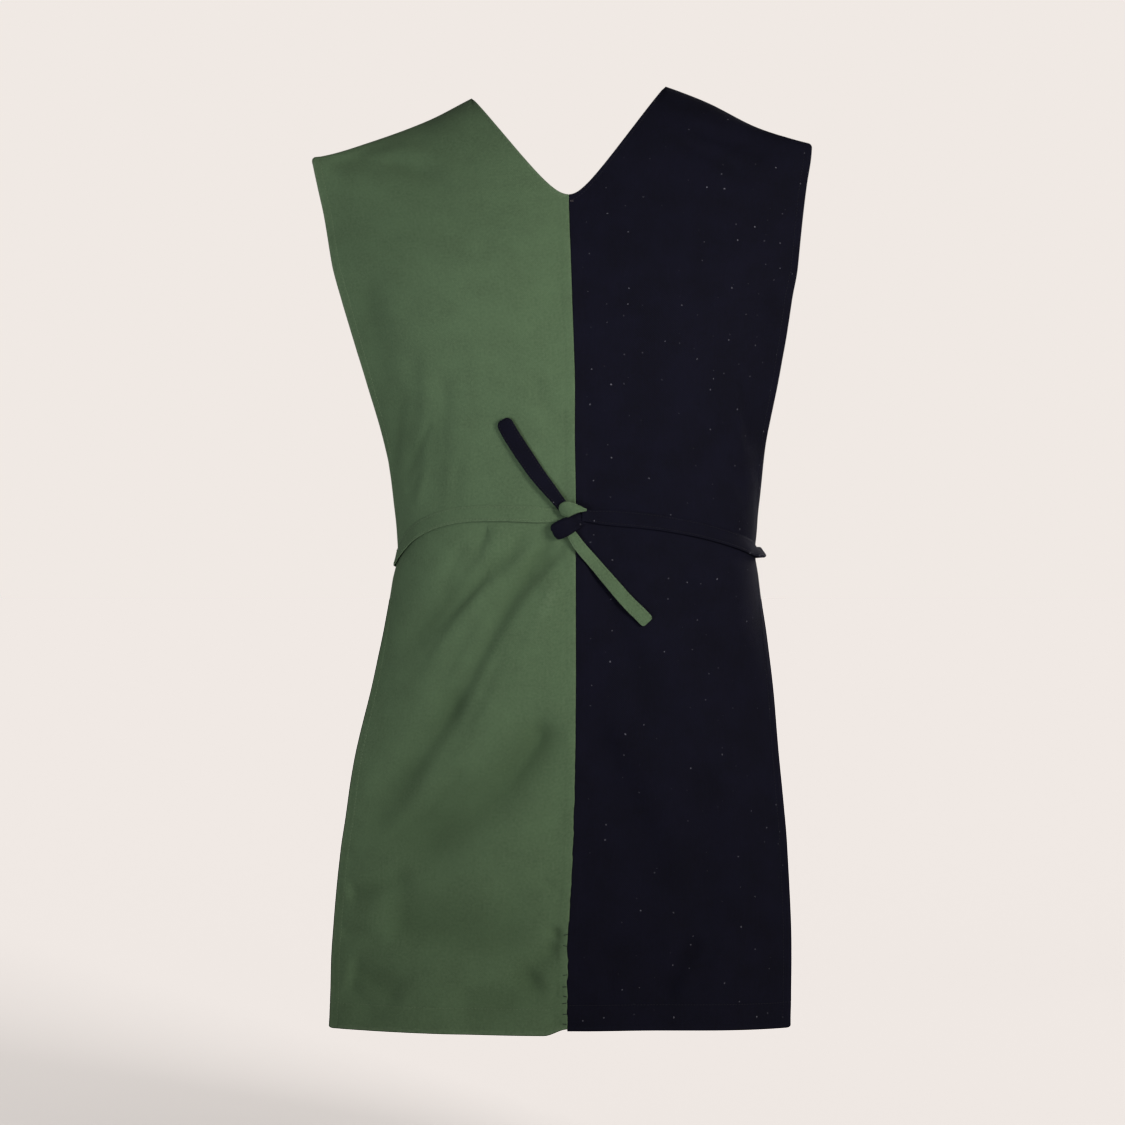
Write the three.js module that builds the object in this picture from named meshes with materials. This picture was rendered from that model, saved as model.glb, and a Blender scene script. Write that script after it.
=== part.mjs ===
// A tabard: two cloth halves in front and two behind, sewn on the shoulders and down the middle,
// open at the sides, held in at the waist by two sewn ties that are knotted in front.
// It keeps the hollow form that it has when it is worn. Nobody is in it.
//
// Millimetres, +Z up, the front faces -Y and the wearer's left is +X.
// The origin lies between the two neck points, where the wearer's shoulders hold it.
import * as THREE from 'three';

// Driving dimensions
const wall = 1.6; // cloth with its turned hems, as one wall
const seamGap = 0.3; // between two pieces that are sewn together
const neckBottom = -109; // lowest point of the V neck
const easeDrop = 210; // below the shoulder line, where the cloth has reached its full depth
const easePower = 0.54; // under 1, so that the cloth leaves the shoulder line nearly level
const backInset = 5; // the back is this much narrower on each side, below the shoulders
const insetStart = -62;
const insetEnd = -160;
const tieWidth = 17;
const tieThick = 1.8; // a strip folded in four
const tieDent = 2.5; // how far the tie presses the cloth in
const seamFlat = 14; // the pressed seam keeps creases this far from the middle

// How finely each panel is divided
const grids = {
  front: { neck: 5, shoulder: 11, above: 19, below: 22 },
  back: { neck: 4, shoulder: 8, above: 14, below: 16 },
};
const rowCrowding = 1.35; // over 1 gathers rows near the shoulder, where the cloth bends most

// Half widths, depths and how far the cloth turns round the body, at each height.
// right and left are the side edges' distances from x = 0; the depths are from y = 0.
const levels = table('z seam right left front frontEdge back backEdge wrap', [
  [20, 1, 274, 262, 98, 21, 92, 19, 50],
  [-60, 1, 270, 256, 99, 21, 93, 19, 50],
  [-90, 1, 264, 251, 101, 22, 95, 19, 50],
  [-120, 1, 257, 247, 104, 24, 98, 21, 50],
  [-180, 3, 245, 240, 113, 36, 104, 31, 50],
  [-240, 5, 229, 231, 118, 41, 105, 37, 52],
  [-300, 7, 212, 221, 114, 40, 100, 36, 57],
  [-360, 7, 196, 210, 108, 31, 91, 28, 67],
  [-420, 8, 183, 202, 99, 18, 80, 17, 81],
  [-460, 8, 179, 199, 97, 12, 78, 12, 88],
  [-510, 8, 183, 200, 103, 18, 88, 17, 84],
  [-560, 8, 192, 206, 111, 29, 102, 26, 70],
  [-620, 8, 204, 213, 118, 42, 114, 37, 57],
  [-700, 7, 222, 220, 122, 52, 119, 44, 48],
  [-780, 5, 235, 226, 124, 58, 119, 47, 44],
  [-870, 0, 243, 231, 126, 60, 116, 48, 42],
  [-980, -1, 249, 231, 126, 62, 112, 48, 40],
]);

// The shoulder line's height at each distance out from the middle. Over the neck it only shapes the ease.
const shoulders = {
  right: table('out z', [
    [-55, 23],
    [0, 32],
    [55, 23],
    [101, 2],
    [144, -20],
    [211, -45],
    [260, -59],
    [276, -60],
  ]),
  left: table('out z', [
    [-55, 29],
    [0, 32],
    [55, 29],
    [104, 14],
    [148, -3],
    [198, -28],
    [238, -41],
    [262, -47],
  ]),
};

// The V neck runs up from a rounded point at its own slope to the neck point.
const necks = {
  right: { half: 102, slope: 1.34, round: 22 },
  left: { half: 103, slope: 1.44, round: 18 },
};

// The hem is level, and the right half's inner corner rises to the seam.
const hems = {
  right: { z: -971, cornerRise: 7, cornerWidth: 24 },
  left: { z: -966, cornerRise: 0, cornerWidth: 24 },
};

// Height of the tie's middle line, from the seam (share 0) to the side edge (share 1)
const tieLine = table('share right left', [
  [0, -440, -439],
  [0.1, -439, -441],
  [0.27, -437, -445],
  [0.44, -438, -452],
  [0.58, -444, -459],
  [0.74, -457, -467],
  [0.88, -473, -473],
  [1, -484, -477],
]);

// The largest folds as soft troughs (depth over 0) and ridges (under 0), each along a curve from
// (x0, z0) past (x1, z1) to (x2, z2). They widen and fade towards their far end.
const foldColumns = 'x0 z0 x1 z1 x2 z2 width depth';
const folds = {
  front_right: table(foldColumns, [
    [-224, -140, -196, -250, -156, -415, 17, 6],
    [-128, -300, -134, -370, -142, -425, 9, 2.5],
    [-9, -492, -86, -560, -112, -636, 10, 5],
    [-12, -478, -66, -520, -100, -585, 9, -2.5],
    [-108, -620, -134, -690, -201, -771, 14, 4],
    [-86, -500, -140, -540, -180, -597, 12, 4.5],
    [-3, -646, -60, -738, -159, -849, 17, 5.5],
    [-40, -640, -70, -690, -130, -760, 15, -2.5],
    [-221, -836, -200, -828, -180, -823, 9, 3],
    [-165, -858, -100, -866, -24, -846, 20, 3],
    [-2, -866, -20, -895, -42, -920, 10, 3],
    [-236, -905, -215, -925, -190, -960, 14, 3.5],
  ]),
  front_left: table(foldColumns, [
    [218, -150, 210, -260, 184, -415, 15, 6],
    [168, -300, 178, -345, 190, -385, 8, -2],
    [24, -486, 66, -560, 84, -650, 11, 3.5],
    [110, -490, 160, -560, 184, -640, 13, 4],
    [30, -650, 74, -740, 110, -850, 16, 3.5],
    [134, -690, 158, -790, 150, -880, 18, 3.5],
    [136, -880, 118, -908, 98, -934, 11, 3],
  ]),
  back_right: table(foldColumns, [
    [-220, -150, -190, -260, -150, -420, 17, 6],
    [-60, -330, -66, -390, -84, -440, 12, 4],
    [-70, -490, -104, -570, -118, -680, 13, 6],
    [-20, -500, -34, -620, -60, -760, 15, 4],
    [-150, -500, -180, -590, -196, -700, 13, 5],
    [-90, -740, -130, -830, -150, -930, 18, 4],
  ]),
  back_left: table(foldColumns, [
    [214, -150, 200, -270, 168, -420, 17, 6],
    [70, -320, 82, -390, 96, -440, 12, 4],
    [60, -490, 88, -590, 96, -700, 13, 6],
    [24, -520, 40, -660, 52, -800, 15, 3.5],
    [150, -500, 184, -600, 190, -720, 13, 5],
    [120, -730, 140, -840, 176, -930, 18, 4],
  ]),
};

// Ribbons of the knot and the two free ends. rise is their middle's height off the cloth, turn is how
// far they lean about their own length, in degrees.
const ribbonColumns = 'x z rise width thick turn';
const ribbons = {
  tail_black: table(ribbonColumns, [
    [-5, -430, 5.2, 13, 1.8, 0],
    [-12, -421, 5.2, 14.5, 1.8, 0],
    [-20, -411, 4.4, 16, 1.8, 4],
    [-31, -397, 3.8, 18, 1.8, 6],
    [-42, -381, 3.6, 19, 1.8, 4],
    [-52, -366, 3.6, 19, 1.8, 0],
    [-60, -353, 3.6, 18.5, 1.8, -4],
    [-64, -345, 3.6, 16, 1.8, -6],
    [-66, -341, 3.6, 10, 1.8, -6],
  ]),
  tail_green: table(ribbonColumns, [
    [2, -456, 5, 9, 1.8, 0],
    [6, -463, 4.6, 11, 1.8, 0],
    [13, -473, 4, 13, 1.8, -3],
    [26, -488, 3.8, 15, 1.8, -5],
    [43, -508, 3.8, 16.5, 1.8, -3],
    [61, -529, 3.8, 17, 1.8, 0],
    [75, -543, 3.8, 17, 1.8, 3],
    [80, -549, 3.8, 14, 1.8, 3],
  ]),
  knot_black: table(ribbonColumns, [
    [21.8, -441, 1.5, 15.5, 1.8, 0],
    [17, -441.8, 4.4, 15, 2.4, 4],
    [11.5, -443.2, 7.8, 15, 3.2, 6],
    [5.5, -445.8, 10, 15.5, 4.2, 4],
    [-0.5, -449, 10.4, 16.5, 4.6, 0],
    [-6, -453, 9.6, 17, 4.6, -4],
    [-11, -457.5, 7.4, 16.5, 4, -8],
    [-14.5, -461.5, 4.8, 13, 3, -10],
  ]),
  knot_green: table(ribbonColumns, [
    [18, -432.6, 10.6, 2.5, 2, 0],
    [12, -431, 11.4, 6, 3, 0],
    [5, -430, 11.8, 10.5, 3.6, 0],
    [-1, -430.5, 11, 13, 3.6, 4],
    [-6, -431.5, 9.4, 10, 2.6, 8],
  ]),
};

const finishes = {
  green: { color: '#51634a', roughness: 0.86 },
  black: { color: '#17171f', roughness: 0.84 },
};

// slack is how far the tie stands off between the front and the back. bandStart is where it comes out
// of the knot, as a share of the front's first column.
const sides = {
  right: { name: 'right', sign: -1, finish: 'green', slack: 1.5, bandStart: 0.35 },
  left: { name: 'left', sign: 1, finish: 'black', slack: 6, bandStart: 0.75 },
};
const faces = {
  front: { name: 'front', sign: -1, inset: 0 },
  back: { name: 'back', sign: 1, inset: backInset },
};

function table(columns, rows) {
  const names = columns.split(' ');
  return rows.map((row) => Object.fromEntries(names.map((name, i) => [name, row[i]])));
}

function clamp01(t) {
  return Math.min(Math.max(t, 0), 1);
}

function smoothStep(from, to, value) {
  const t = clamp01((value - from) / (to - from));
  return t * t * (3 - 2 * t);
}

// A smooth curve through a table's rows: the value of one column where the key column has this value
function readTable(rows, key, at, column) {
  const up = rows[1][key] > rows[0][key] ? 1 : -1;
  let i = rows.findIndex((row) => up * row[key] > up * at) - 1;
  if (i === -2) i = rows.length - 2;
  i = Math.max(i, 0);
  const slope = (a, b) => (rows[b][column] - rows[a][column]) / (rows[b][key] - rows[a][key]);
  const tangent = (j) => {
    if (j === 0) return slope(0, 1);
    if (j === rows.length - 1) return slope(j - 1, j);
    return (slope(j - 1, j) + slope(j, j + 1)) / 2;
  };
  const run = rows[i + 1][key] - rows[i][key];
  const t = (at - rows[i][key]) / run;
  const rise = rows[i + 1][column] - rows[i][column];
  const startBend = tangent(i) * run - rise;
  const endBend = rise - tangent(i + 1) * run;
  return rows[i][column] + rise * t + t * (1 - t) * (startBend * (1 - t) + endBend * t);
}

function levelAt(z, column) {
  return readTable(levels, 'z', z, column);
}

function shoulderHeight(side, x) {
  return readTable(shoulders[side.name], 'out', side.sign * x, 'z');
}

// The upper edge of a half: the V neck out to the neck point, then the shoulder line
function topHeight(side, x) {
  const neck = necks[side.name];
  const out = side.sign * x;
  if (out >= neck.half) return shoulderHeight(side, x);
  const fromSeam = Math.max(out - side.sign * levelAt(neckBottom, 'seam'), 0);
  return neckBottom + neck.slope * (Math.hypot(fromSeam, neck.round) - neck.round);
}

function hemHeight(side, x) {
  const hem = hems[side.name];
  const fromSeam = side.sign * (x - levelAt(hem.z, 'seam'));
  return hem.z + hem.cornerRise * (1 - smoothStep(0, hem.cornerWidth, fromSeam));
}

function tieHeight(side, share) {
  return readTable(tieLine, 'share', share, side.name);
}

function reachAt(face, side, z) {
  const inset = face.inset * smoothStep(insetStart, insetEnd, z);
  return levelAt(z, side.name) - side.sign * levelAt(z, 'seam') - inset;
}

// The smooth body of the cloth: share 0 is the seam and 1 the side edge.
function bodyPoint(face, side, share, z) {
  const wrap = THREE.MathUtils.degToRad(levelAt(z, 'wrap'));
  const turn = share * wrap;
  const out = (reachAt(face, side, z) * Math.sin(turn)) / Math.sin(wrap);
  const x = levelAt(z, 'seam') + side.sign * (out + seamGap / 2);
  const edgeDepth = levelAt(z, face.name + 'Edge');
  const bulge = (Math.cos(turn) - Math.cos(wrap)) / (1 - Math.cos(wrap));
  const depth = edgeDepth + (levelAt(z, face.name) - edgeDepth) * bulge;
  const drop = clamp01((shoulderHeight(side, x) - z) / easeDrop);
  const ease = Math.pow(2 * drop - drop * drop, easePower);
  return new THREE.Vector3(x, face.sign * (depth * ease + seamGap / 2), z);
}

// The share at which a level passes through x
function shareAt(face, side, x, z) {
  const wrap = THREE.MathUtils.degToRad(levelAt(z, 'wrap'));
  const out = side.sign * (x - levelAt(z, 'seam')) - seamGap / 2;
  return Math.asin(clamp01(out / reachAt(face, side, z)) * Math.sin(wrap)) / wrap;
}

// How far the folds and the tie move the cloth in at a point
function foldDepth(face, side, share, x, z) {
  const dent = tieDent * Math.exp(-(((z - tieHeight(side, share)) / tieWidth) ** 2));
  const samples = 12;
  const fromSeam = side.sign * (x - levelAt(z, 'seam'));
  let depth = 0;
  for (const fold of folds[face.name + '_' + side.name]) {
    let nearest = Infinity;
    let along = 0;
    for (let i = 0; i <= samples; i++) {
      const t = i / samples;
      const bx = (1 - t) ** 2 * fold.x0 + 2 * t * (1 - t) * fold.x1 + t * t * fold.x2;
      const bz = (1 - t) ** 2 * fold.z0 + 2 * t * (1 - t) * fold.z1 + t * t * fold.z2;
      const away = Math.hypot(x - bx, z - bz);
      if (away < nearest) {
        nearest = away;
        along = t;
      }
    }
    const width = fold.width * (1 + 0.7 * along);
    depth += fold.depth * (1 - 0.5 * along) * Math.exp(-((nearest / width) ** 2));
  }
  return dent + depth * smoothStep(0, seamFlat, fromSeam);
}

// Heights down one column of a panel, evenly spread along the cloth in each of its three stretches:
// above the tie, under it and below it
function columnHeights(face, side, share) {
  const grid = grids[face.name];
  let top = neckBottom;
  for (let i = 0; i < 30; i++) top = topHeight(side, bodyPoint(face, side, share, top).x);
  let bottom = hems[side.name].z;
  bottom = hemHeight(side, bodyPoint(face, side, share, bottom).x);
  const middle = tieHeight(side, share);
  const heights = spread(face, side, share, top, middle + tieWidth / 2, grid.above, rowCrowding);
  heights.push(middle + tieWidth / 2, middle);
  heights.push(...spread(face, side, share, middle - tieWidth / 2, bottom, grid.below, 1));
  heights.push(bottom);
  return heights;
}

function spread(face, side, share, from, to, count, crowding) {
  const steps = 160;
  const zs = [];
  const lengths = [];
  let before = null;
  for (let i = 0; i <= steps; i++) {
    const z = from + (to - from) * (i / steps) ** 2;
    const point = bodyPoint(face, side, share, z);
    lengths.push(before ? lengths[i - 1] + point.distanceTo(before) : 0);
    zs.push(z);
    before = point;
  }
  const heights = [];
  for (let row = 0; row < count; row++) {
    const wanted = lengths[steps] * (row / count) ** crowding;
    const i = Math.min(Math.max(lengths.findIndex((length) => length > wanted), 1), steps);
    const t = (wanted - lengths[i - 1]) / (lengths[i] - lengths[i - 1]);
    heights.push(zs[i - 1] + (zs[i] - zs[i - 1]) * t);
  }
  return heights;
}

// The columns' shares: one falls on the neck point, where the neck meets the shoulder seam.
function columnShares(face, side) {
  const grid = grids[face.name];
  const neck = necks[side.name];
  const neckX = side.sign * neck.half;
  const neckShare = shareAt(face, side, neckX, shoulderHeight(side, neckX));
  const shares = [];
  for (let i = 0; i < grid.neck; i++) shares.push((neckShare * i) / grid.neck);
  for (let i = 0; i <= grid.shoulder; i++) {
    shares.push(neckShare + ((1 - neckShare) * i) / grid.shoulder);
  }
  return shares;
}

// A panel's middle surface: rows of points, and the outward normal at each
function panelSurface(face, side) {
  const shares = columnShares(face, side);
  const columns = shares.map((share) => columnHeights(face, side, share));
  const rowCount = columns[0].length;
  const smooth = columns[0].map((_, row) =>
    shares.map((share, column) => bodyPoint(face, side, share, columns[column][row])),
  );
  const normals = surfaceNormals(smooth, face);
  for (let column = 0; column < shares.length; column++) {
    normals[0][column] = topNormal(smooth, normals, column, side);
  }
  for (let row = 0; row < rowCount; row++) normals[row][0].setX(0).normalize();
  const points = smooth.map((line, row) =>
    line.map((point, column) => {
      const depth = foldDepth(face, side, shares[column], point.x, point.z);
      const held = row === 0 && isOnShoulder(side, point.x) ? 0 : depth;
      return point.clone().addScaledVector(normals[row][column], -held);
    }),
  );
  return { points, normals };
}

function isOnShoulder(side, x) {
  return side.sign * x > necks[side.name].half - 0.5;
}

// On the shoulder seam the cloth lies level from front to back, so its normal is square to the seam.
function topNormal(smooth, normals, column, side) {
  const point = smooth[0][column];
  if (!isOnShoulder(side, point.x)) return normals[0][column];
  const step = 1;
  const rise = shoulderHeight(side, point.x + step) - shoulderHeight(side, point.x - step);
  return new THREE.Vector3(-rise, 0, 2 * step).normalize();
}

function surfaceNormals(rows, face) {
  return rows.map((line, r) =>
    line.map((_, c) => {
      const across = new THREE.Vector3().subVectors(
        line[Math.min(c + 1, line.length - 1)],
        line[Math.max(c - 1, 0)],
      );
      const down = new THREE.Vector3().subVectors(
        rows[Math.min(r + 1, rows.length - 1)][c],
        rows[Math.max(r - 1, 0)][c],
      );
      const normal = across.cross(down).normalize();
      return normal.y * face.sign < 0 ? normal.negate() : normal;
    }),
  );
}

// Moves a sheet's points along their normals
function movedOut(sheet, distance) {
  return sheet.points.map((line, r) =>
    line.map((point, c) => point.clone().addScaledVector(sheet.normals[r][c], distance)),
  );
}

// One closed solid between two like grids of points
function closedWall(outer, inner) {
  const rows = outer.length;
  const columns = outer[0].length;
  const points = [...outer.flat(), ...inner.flat()];
  const back = rows * columns;
  const at = (r, c) => r * columns + c;
  const faces = [];
  const quad = (a, b, c, d) => faces.push(a, b, c, a, c, d);
  for (let r = 0; r < rows - 1; r++) {
    for (let c = 0; c < columns - 1; c++) {
      quad(at(r, c), at(r + 1, c), at(r + 1, c + 1), at(r, c + 1));
      quad(back + at(r, c), back + at(r, c + 1), back + at(r + 1, c + 1), back + at(r + 1, c));
    }
  }
  for (let c = 0; c < columns - 1; c++) {
    const last = rows - 1;
    quad(at(0, c), at(0, c + 1), back + at(0, c + 1), back + at(0, c));
    quad(at(last, c + 1), at(last, c), back + at(last, c), back + at(last, c + 1));
  }
  for (let r = 0; r < rows - 1; r++) {
    const last = columns - 1;
    quad(at(r + 1, 0), at(r, 0), back + at(r, 0), back + at(r + 1, 0));
    quad(at(r, last), at(r + 1, last), back + at(r + 1, last), back + at(r, last));
  }
  return facingOut(points, faces);
}

function facingOut(points, faces) {
  let volume = 0;
  for (let i = 0; i < faces.length; i += 3) {
    const [a, b, c] = [points[faces[i]], points[faces[i + 1]], points[faces[i + 2]]];
    volume += a.dot(b.clone().cross(c)) / 6;
  }
  if (volume < 0) {
    for (let i = 0; i < faces.length; i += 3) [faces[i + 1], faces[i + 2]] = [faces[i + 2], faces[i + 1]];
  }
  const geometry = new THREE.BufferGeometry().setFromPoints(points);
  geometry.setIndex(faces);
  geometry.computeVertexNormals();
  return geometry;
}

function cloth(name, finish, geometry) {
  const material = new THREE.MeshStandardMaterial({ ...finishes[finish], metalness: 0 });
  material.name = finish + ' twill';
  const mesh = new THREE.Mesh(geometry, material);
  mesh.name = name;
  return mesh;
}

// The tie lies on the front panel's own points, crosses the open side and is sewn on the back panel.
function tieBand(front, back, side) {
  const outward = new THREE.Vector3(side.sign, 0, 0);
  const onFront = movedOut(front, wall / 2 + seamGap);
  const onBack = movedOut(back, wall / 2 + 2 * seamGap);
  const sheet = { points: [], normals: [] };
  for (let row = 0; row < 3; row++) {
    const frontRow = grids.front.above + row;
    const backRow = grids.back.above + row;
    const [seam, ...line] = onFront[frontRow];
    const [seamNormal, ...lineNormals] = front.normals[frontRow];
    const start = seam.clone().lerp(line[0], side.bandStart);
    const startNormal = seamNormal.clone().lerp(lineNormals[0], side.bandStart).normalize();
    const sewn = onBack[backRow].slice(-2).reverse();
    const bridge = [0.25, 0.5, 0.75].map((t) => {
      const arch = side.slack * 4 * t * (1 - t);
      return line.at(-1).clone().lerp(sewn[0], t).addScaledVector(outward, arch);
    });
    sheet.points.push([start, ...line, ...bridge, ...sewn]);
    sheet.normals.push([
      startNormal,
      ...lineNormals,
      ...bridge.map(() => outward),
      ...back.normals[backRow].slice(-2).reverse(),
    ]);
  }
  return closedWall(movedOut(sheet, tieThick), sheet.points);
}

// The cloth's outer face under a point of the front, and its normal
function frontFace(x, z) {
  const face = faces.front;
  const side = x < levelAt(z, 'seam') ? sides.right : sides.left;
  const point = (px, pz) => {
    const share = shareAt(face, side, px, pz);
    const at = bodyPoint(face, side, share, pz);
    return at.setY(at.y + foldDepth(face, side, share, px, pz) - wall / 2);
  };
  const step = 4;
  const here = point(x, z);
  const across = point(x + step, z).sub(point(x - step, z));
  const up = point(x, z + step).sub(point(x, z - step));
  return { here, normal: across.cross(up).normalize() };
}

// A ribbon through a table's rows, with a rounded section
function ribbonGeometry(rows) {
  const centres = rows.map((row) => {
    const { here, normal } = frontFace(row.x, row.z);
    return { at: here.addScaledVector(normal, row.rise), normal };
  });
  const sections = rows.map((row, i) => {
    const before = centres[Math.max(i - 1, 0)].at;
    const after = centres[Math.min(i + 1, rows.length - 1)].at;
    const along = after.clone().sub(before).normalize();
    const out = centres[i].normal.clone().addScaledVector(along, -centres[i].normal.dot(along)).normalize();
    out.applyAxisAngle(along, THREE.MathUtils.degToRad(row.turn));
    const across = along.clone().cross(out);
    const sectionPoints = [
      [-0.5, 0],
      [-0.42, 0.42],
      [0, 0.5],
      [0.42, 0.42],
      [0.5, 0],
      [0.42, -0.42],
      [0, -0.5],
      [-0.42, -0.42],
    ];
    return sectionPoints.map(([w, t]) =>
      centres[i].at.clone().addScaledVector(across, w * row.width).addScaledVector(out, t * row.thick),
    );
  });
  const sideCount = sections[0].length;
  const faces = [];
  for (let i = 0; i < sections.length - 1; i++) {
    for (let k = 0; k < sideCount; k++) {
      const next = (k + 1) % sideCount;
      const [a, b] = [i * sideCount + k, i * sideCount + next];
      const [c, d] = [a + sideCount, b + sideCount];
      faces.push(a, b, d, a, d, c);
    }
  }
  const last = (sections.length - 1) * sideCount;
  for (let k = 1; k < sideCount - 1; k++) {
    faces.push(0, k + 1, k);
    faces.push(last, last + k, last + k + 1);
  }
  return facingOut(sections.flat(), faces);
}

const tabard = new THREE.Group();
tabard.name = 'tabard';

for (const side of Object.values(sides)) {
  const front = panelSurface(faces.front, side);
  const back = panelSurface(faces.back, side);
  for (const [face, sheet] of [['front', front], ['back', back]]) {
    const geometry = closedWall(movedOut(sheet, wall / 2), movedOut(sheet, -wall / 2));
    tabard.add(cloth(face + '_' + side.name, side.finish, geometry));
  }
  tabard.add(cloth('tie_' + side.finish, side.finish, tieBand(front, back, side)));
  for (const stretch of ['knot_', 'tail_']) {
    const name = stretch + side.finish;
    tabard.add(cloth(name, side.finish, ribbonGeometry(ribbons[name])));
  }
}

export default tabard;
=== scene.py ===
# A sleeveless tabard of two cloth halves, green and black, tied at the waist, in its worn form.
# Sizes are in millimetres and turned to metres as each mesh is made.
import math

import bpy
import numpy as np
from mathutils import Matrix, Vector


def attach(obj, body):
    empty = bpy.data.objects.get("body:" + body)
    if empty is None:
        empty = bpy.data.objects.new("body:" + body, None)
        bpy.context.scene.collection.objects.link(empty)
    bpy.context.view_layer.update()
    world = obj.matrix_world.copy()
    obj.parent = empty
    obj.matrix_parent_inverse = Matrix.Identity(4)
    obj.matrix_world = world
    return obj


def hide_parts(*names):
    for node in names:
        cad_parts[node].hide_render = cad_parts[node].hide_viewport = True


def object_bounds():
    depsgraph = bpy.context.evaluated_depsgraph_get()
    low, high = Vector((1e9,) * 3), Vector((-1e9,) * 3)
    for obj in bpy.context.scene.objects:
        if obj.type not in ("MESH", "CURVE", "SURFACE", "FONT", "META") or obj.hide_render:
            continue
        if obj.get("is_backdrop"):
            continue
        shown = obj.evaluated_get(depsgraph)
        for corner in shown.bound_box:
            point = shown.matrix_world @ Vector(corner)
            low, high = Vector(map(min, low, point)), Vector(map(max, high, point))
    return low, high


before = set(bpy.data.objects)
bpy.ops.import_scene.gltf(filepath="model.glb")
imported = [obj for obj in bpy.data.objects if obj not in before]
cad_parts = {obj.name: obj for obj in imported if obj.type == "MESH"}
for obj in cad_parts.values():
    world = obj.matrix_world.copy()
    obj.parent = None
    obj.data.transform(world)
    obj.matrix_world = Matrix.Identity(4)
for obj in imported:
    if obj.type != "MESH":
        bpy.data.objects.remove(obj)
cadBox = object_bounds()
mm = 0.001
print("frame loaded:", len(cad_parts), "nodes")


def table(columns, rows):
    return {name: np.array([row[i] for row in rows], float) for i, name in enumerate(columns.split())}


def smoothStep(low, high, value):
    t = np.clip((value - low) / (high - low), 0, 1)
    return t * t * (3 - 2 * t)


def bump(distance, width):
    return np.exp(-(distance / width) ** 2)


def readTable(rows, key, column, at):
    # a smooth curve through the table's rows
    keys, values = rows[key], rows[column]
    if keys[0] > keys[-1]:
        keys, values = keys[::-1], values[::-1]
    slopes = np.diff(values) / np.diff(keys)
    tangents = np.concatenate([slopes[:1], (slopes[1:] + slopes[:-1]) / 2, slopes[-1:]])
    i = np.clip(np.searchsorted(keys, at) - 1, 0, len(keys) - 2)
    run = keys[i + 1] - keys[i]
    t = (at - keys[i]) / run
    rise = values[i + 1] - values[i]
    startBend = tangents[i] * run - rise
    endBend = rise - tangents[i + 1] * run
    return values[i] + rise * t + t * (1 - t) * (startBend * (1 - t) + endBend * t)


noiseGrid = {"size": 97, "startX": 31, "startY": 17}  # random heights, repeated past their size


def softNoise(across, down, cell, seed):
    # smooth bumps from -1 to 1, about one to a cell of this many millimetres
    size = noiseGrid["size"]
    heights = np.random.default_rng(seed).uniform(-1, 1, (size, size))
    gridX, gridY = across / cell + noiseGrid["startX"], down / cell + noiseGrid["startY"]
    column, row = np.floor(gridX).astype(int), np.floor(gridY).astype(int)
    fx, fy = smoothStep(0, 1, gridX - column), smoothStep(0, 1, gridY - row)
    corner = lambda dx, dy: heights[(column + dx) % size, (row + dy) % size]
    low = corner(0, 0) * (1 - fx) + corner(1, 0) * fx
    high = corner(0, 1) * (1 - fx) + corner(1, 1) * fx
    return low * (1 - fy) + high * fy


def unit(vectors):
    return vectors / np.linalg.norm(vectors, axis=-1, keepdims=True)


def roundedCorner(share):
    # how far a rounded corner has turned in, which stops just short of square
    return 1 - np.sqrt(1 - 0.98 * share ** 2)


def smoothed(rows, reach):
    kernel = np.ones(2 * reach + 1) / (2 * reach + 1)
    columns = [np.convolve(np.pad(column, reach, "edge"), kernel, "valid") for column in rows.T]
    return np.stack(columns, axis=1)


def toLinear(hexColour):
    values = [int(hexColour[i:i + 2], 16) / 255 for i in (1, 3, 5)]
    return [v / 12.92 if v <= 0.04045 else ((v + 0.055) / 1.055) ** 2.4 for v in values] + [1.0]


def addNode(tree, kind, inputs=None, **settings):
    # one node with its settings, and for each input its value or the output that feeds it
    node = tree.nodes.new(kind)
    for name, value in settings.items():
        setattr(node, name, value)
    for socket, value in (inputs or {}).items():
        if isinstance(value, bpy.types.NodeSocket):
            tree.links.new(value, node.inputs[socket])
        else:
            node.inputs[socket].default_value = value
    return node


bodyForm = {
    "neckBottom": -109,
    "easeDrop": 210,  # below the shoulder line, where the cloth has reached its full depth
    "easePower": 0.54,
    "backInset": 5,  # the back is this much narrower on each side
    "insetStart": -62,
    "insetEnd": -160,
    "seamHalf": 0.3,  # each half stops this far from the seam line, and its folded edge fills the rest
    "seamFlat": 14,  # folds fade out over this much beside the seam
    "tieDent": 2.5,
    "tieWidth": 17,
    "hemDropStart": 60,  # from the seam, where a hem begins to hang toward its side corner
    "hemDropEnd": 230,
}

# at each height: the seam's x, the side edges' distance from x 0, the depths of front and back at the seam
# and at the side edge, and the angle in degrees that each half wraps round
levels = table("z seam right left front frontEdge back backEdge wrap", [
    [20, 1, 274, 262, 98, 21, 92, 19, 50],
    [-60, 1, 270, 256, 99, 21, 93, 19, 50],
    [-90, 1, 264, 251, 101, 22, 95, 19, 50],
    [-120, 1, 257, 247, 104, 24, 98, 21, 50],
    [-180, 3, 245, 240, 113, 36, 104, 31, 50],
    [-240, 5, 229, 231, 118, 41, 105, 37, 52],
    [-300, 7, 212, 221, 114, 40, 100, 36, 57],
    [-360, 7, 196, 210, 108, 31, 91, 28, 67],
    [-420, 8, 183, 202, 99, 18, 80, 17, 81],
    [-460, 8, 179, 199, 97, 12, 78, 12, 88],
    [-510, 8, 183, 200, 103, 18, 88, 17, 84],
    [-560, 8, 192, 206, 111, 29, 102, 26, 70],
    [-620, 8, 204, 213, 118, 42, 114, 37, 57],
    [-700, 7, 222, 220, 122, 52, 119, 44, 48],
    [-780, 5, 235, 226, 124, 58, 119, 47, 44],
    [-870, 0, 243, 231, 126, 60, 116, 48, 42],
    [-980, -1, 249, 231, 126, 62, 112, 48, 40],
])

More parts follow.
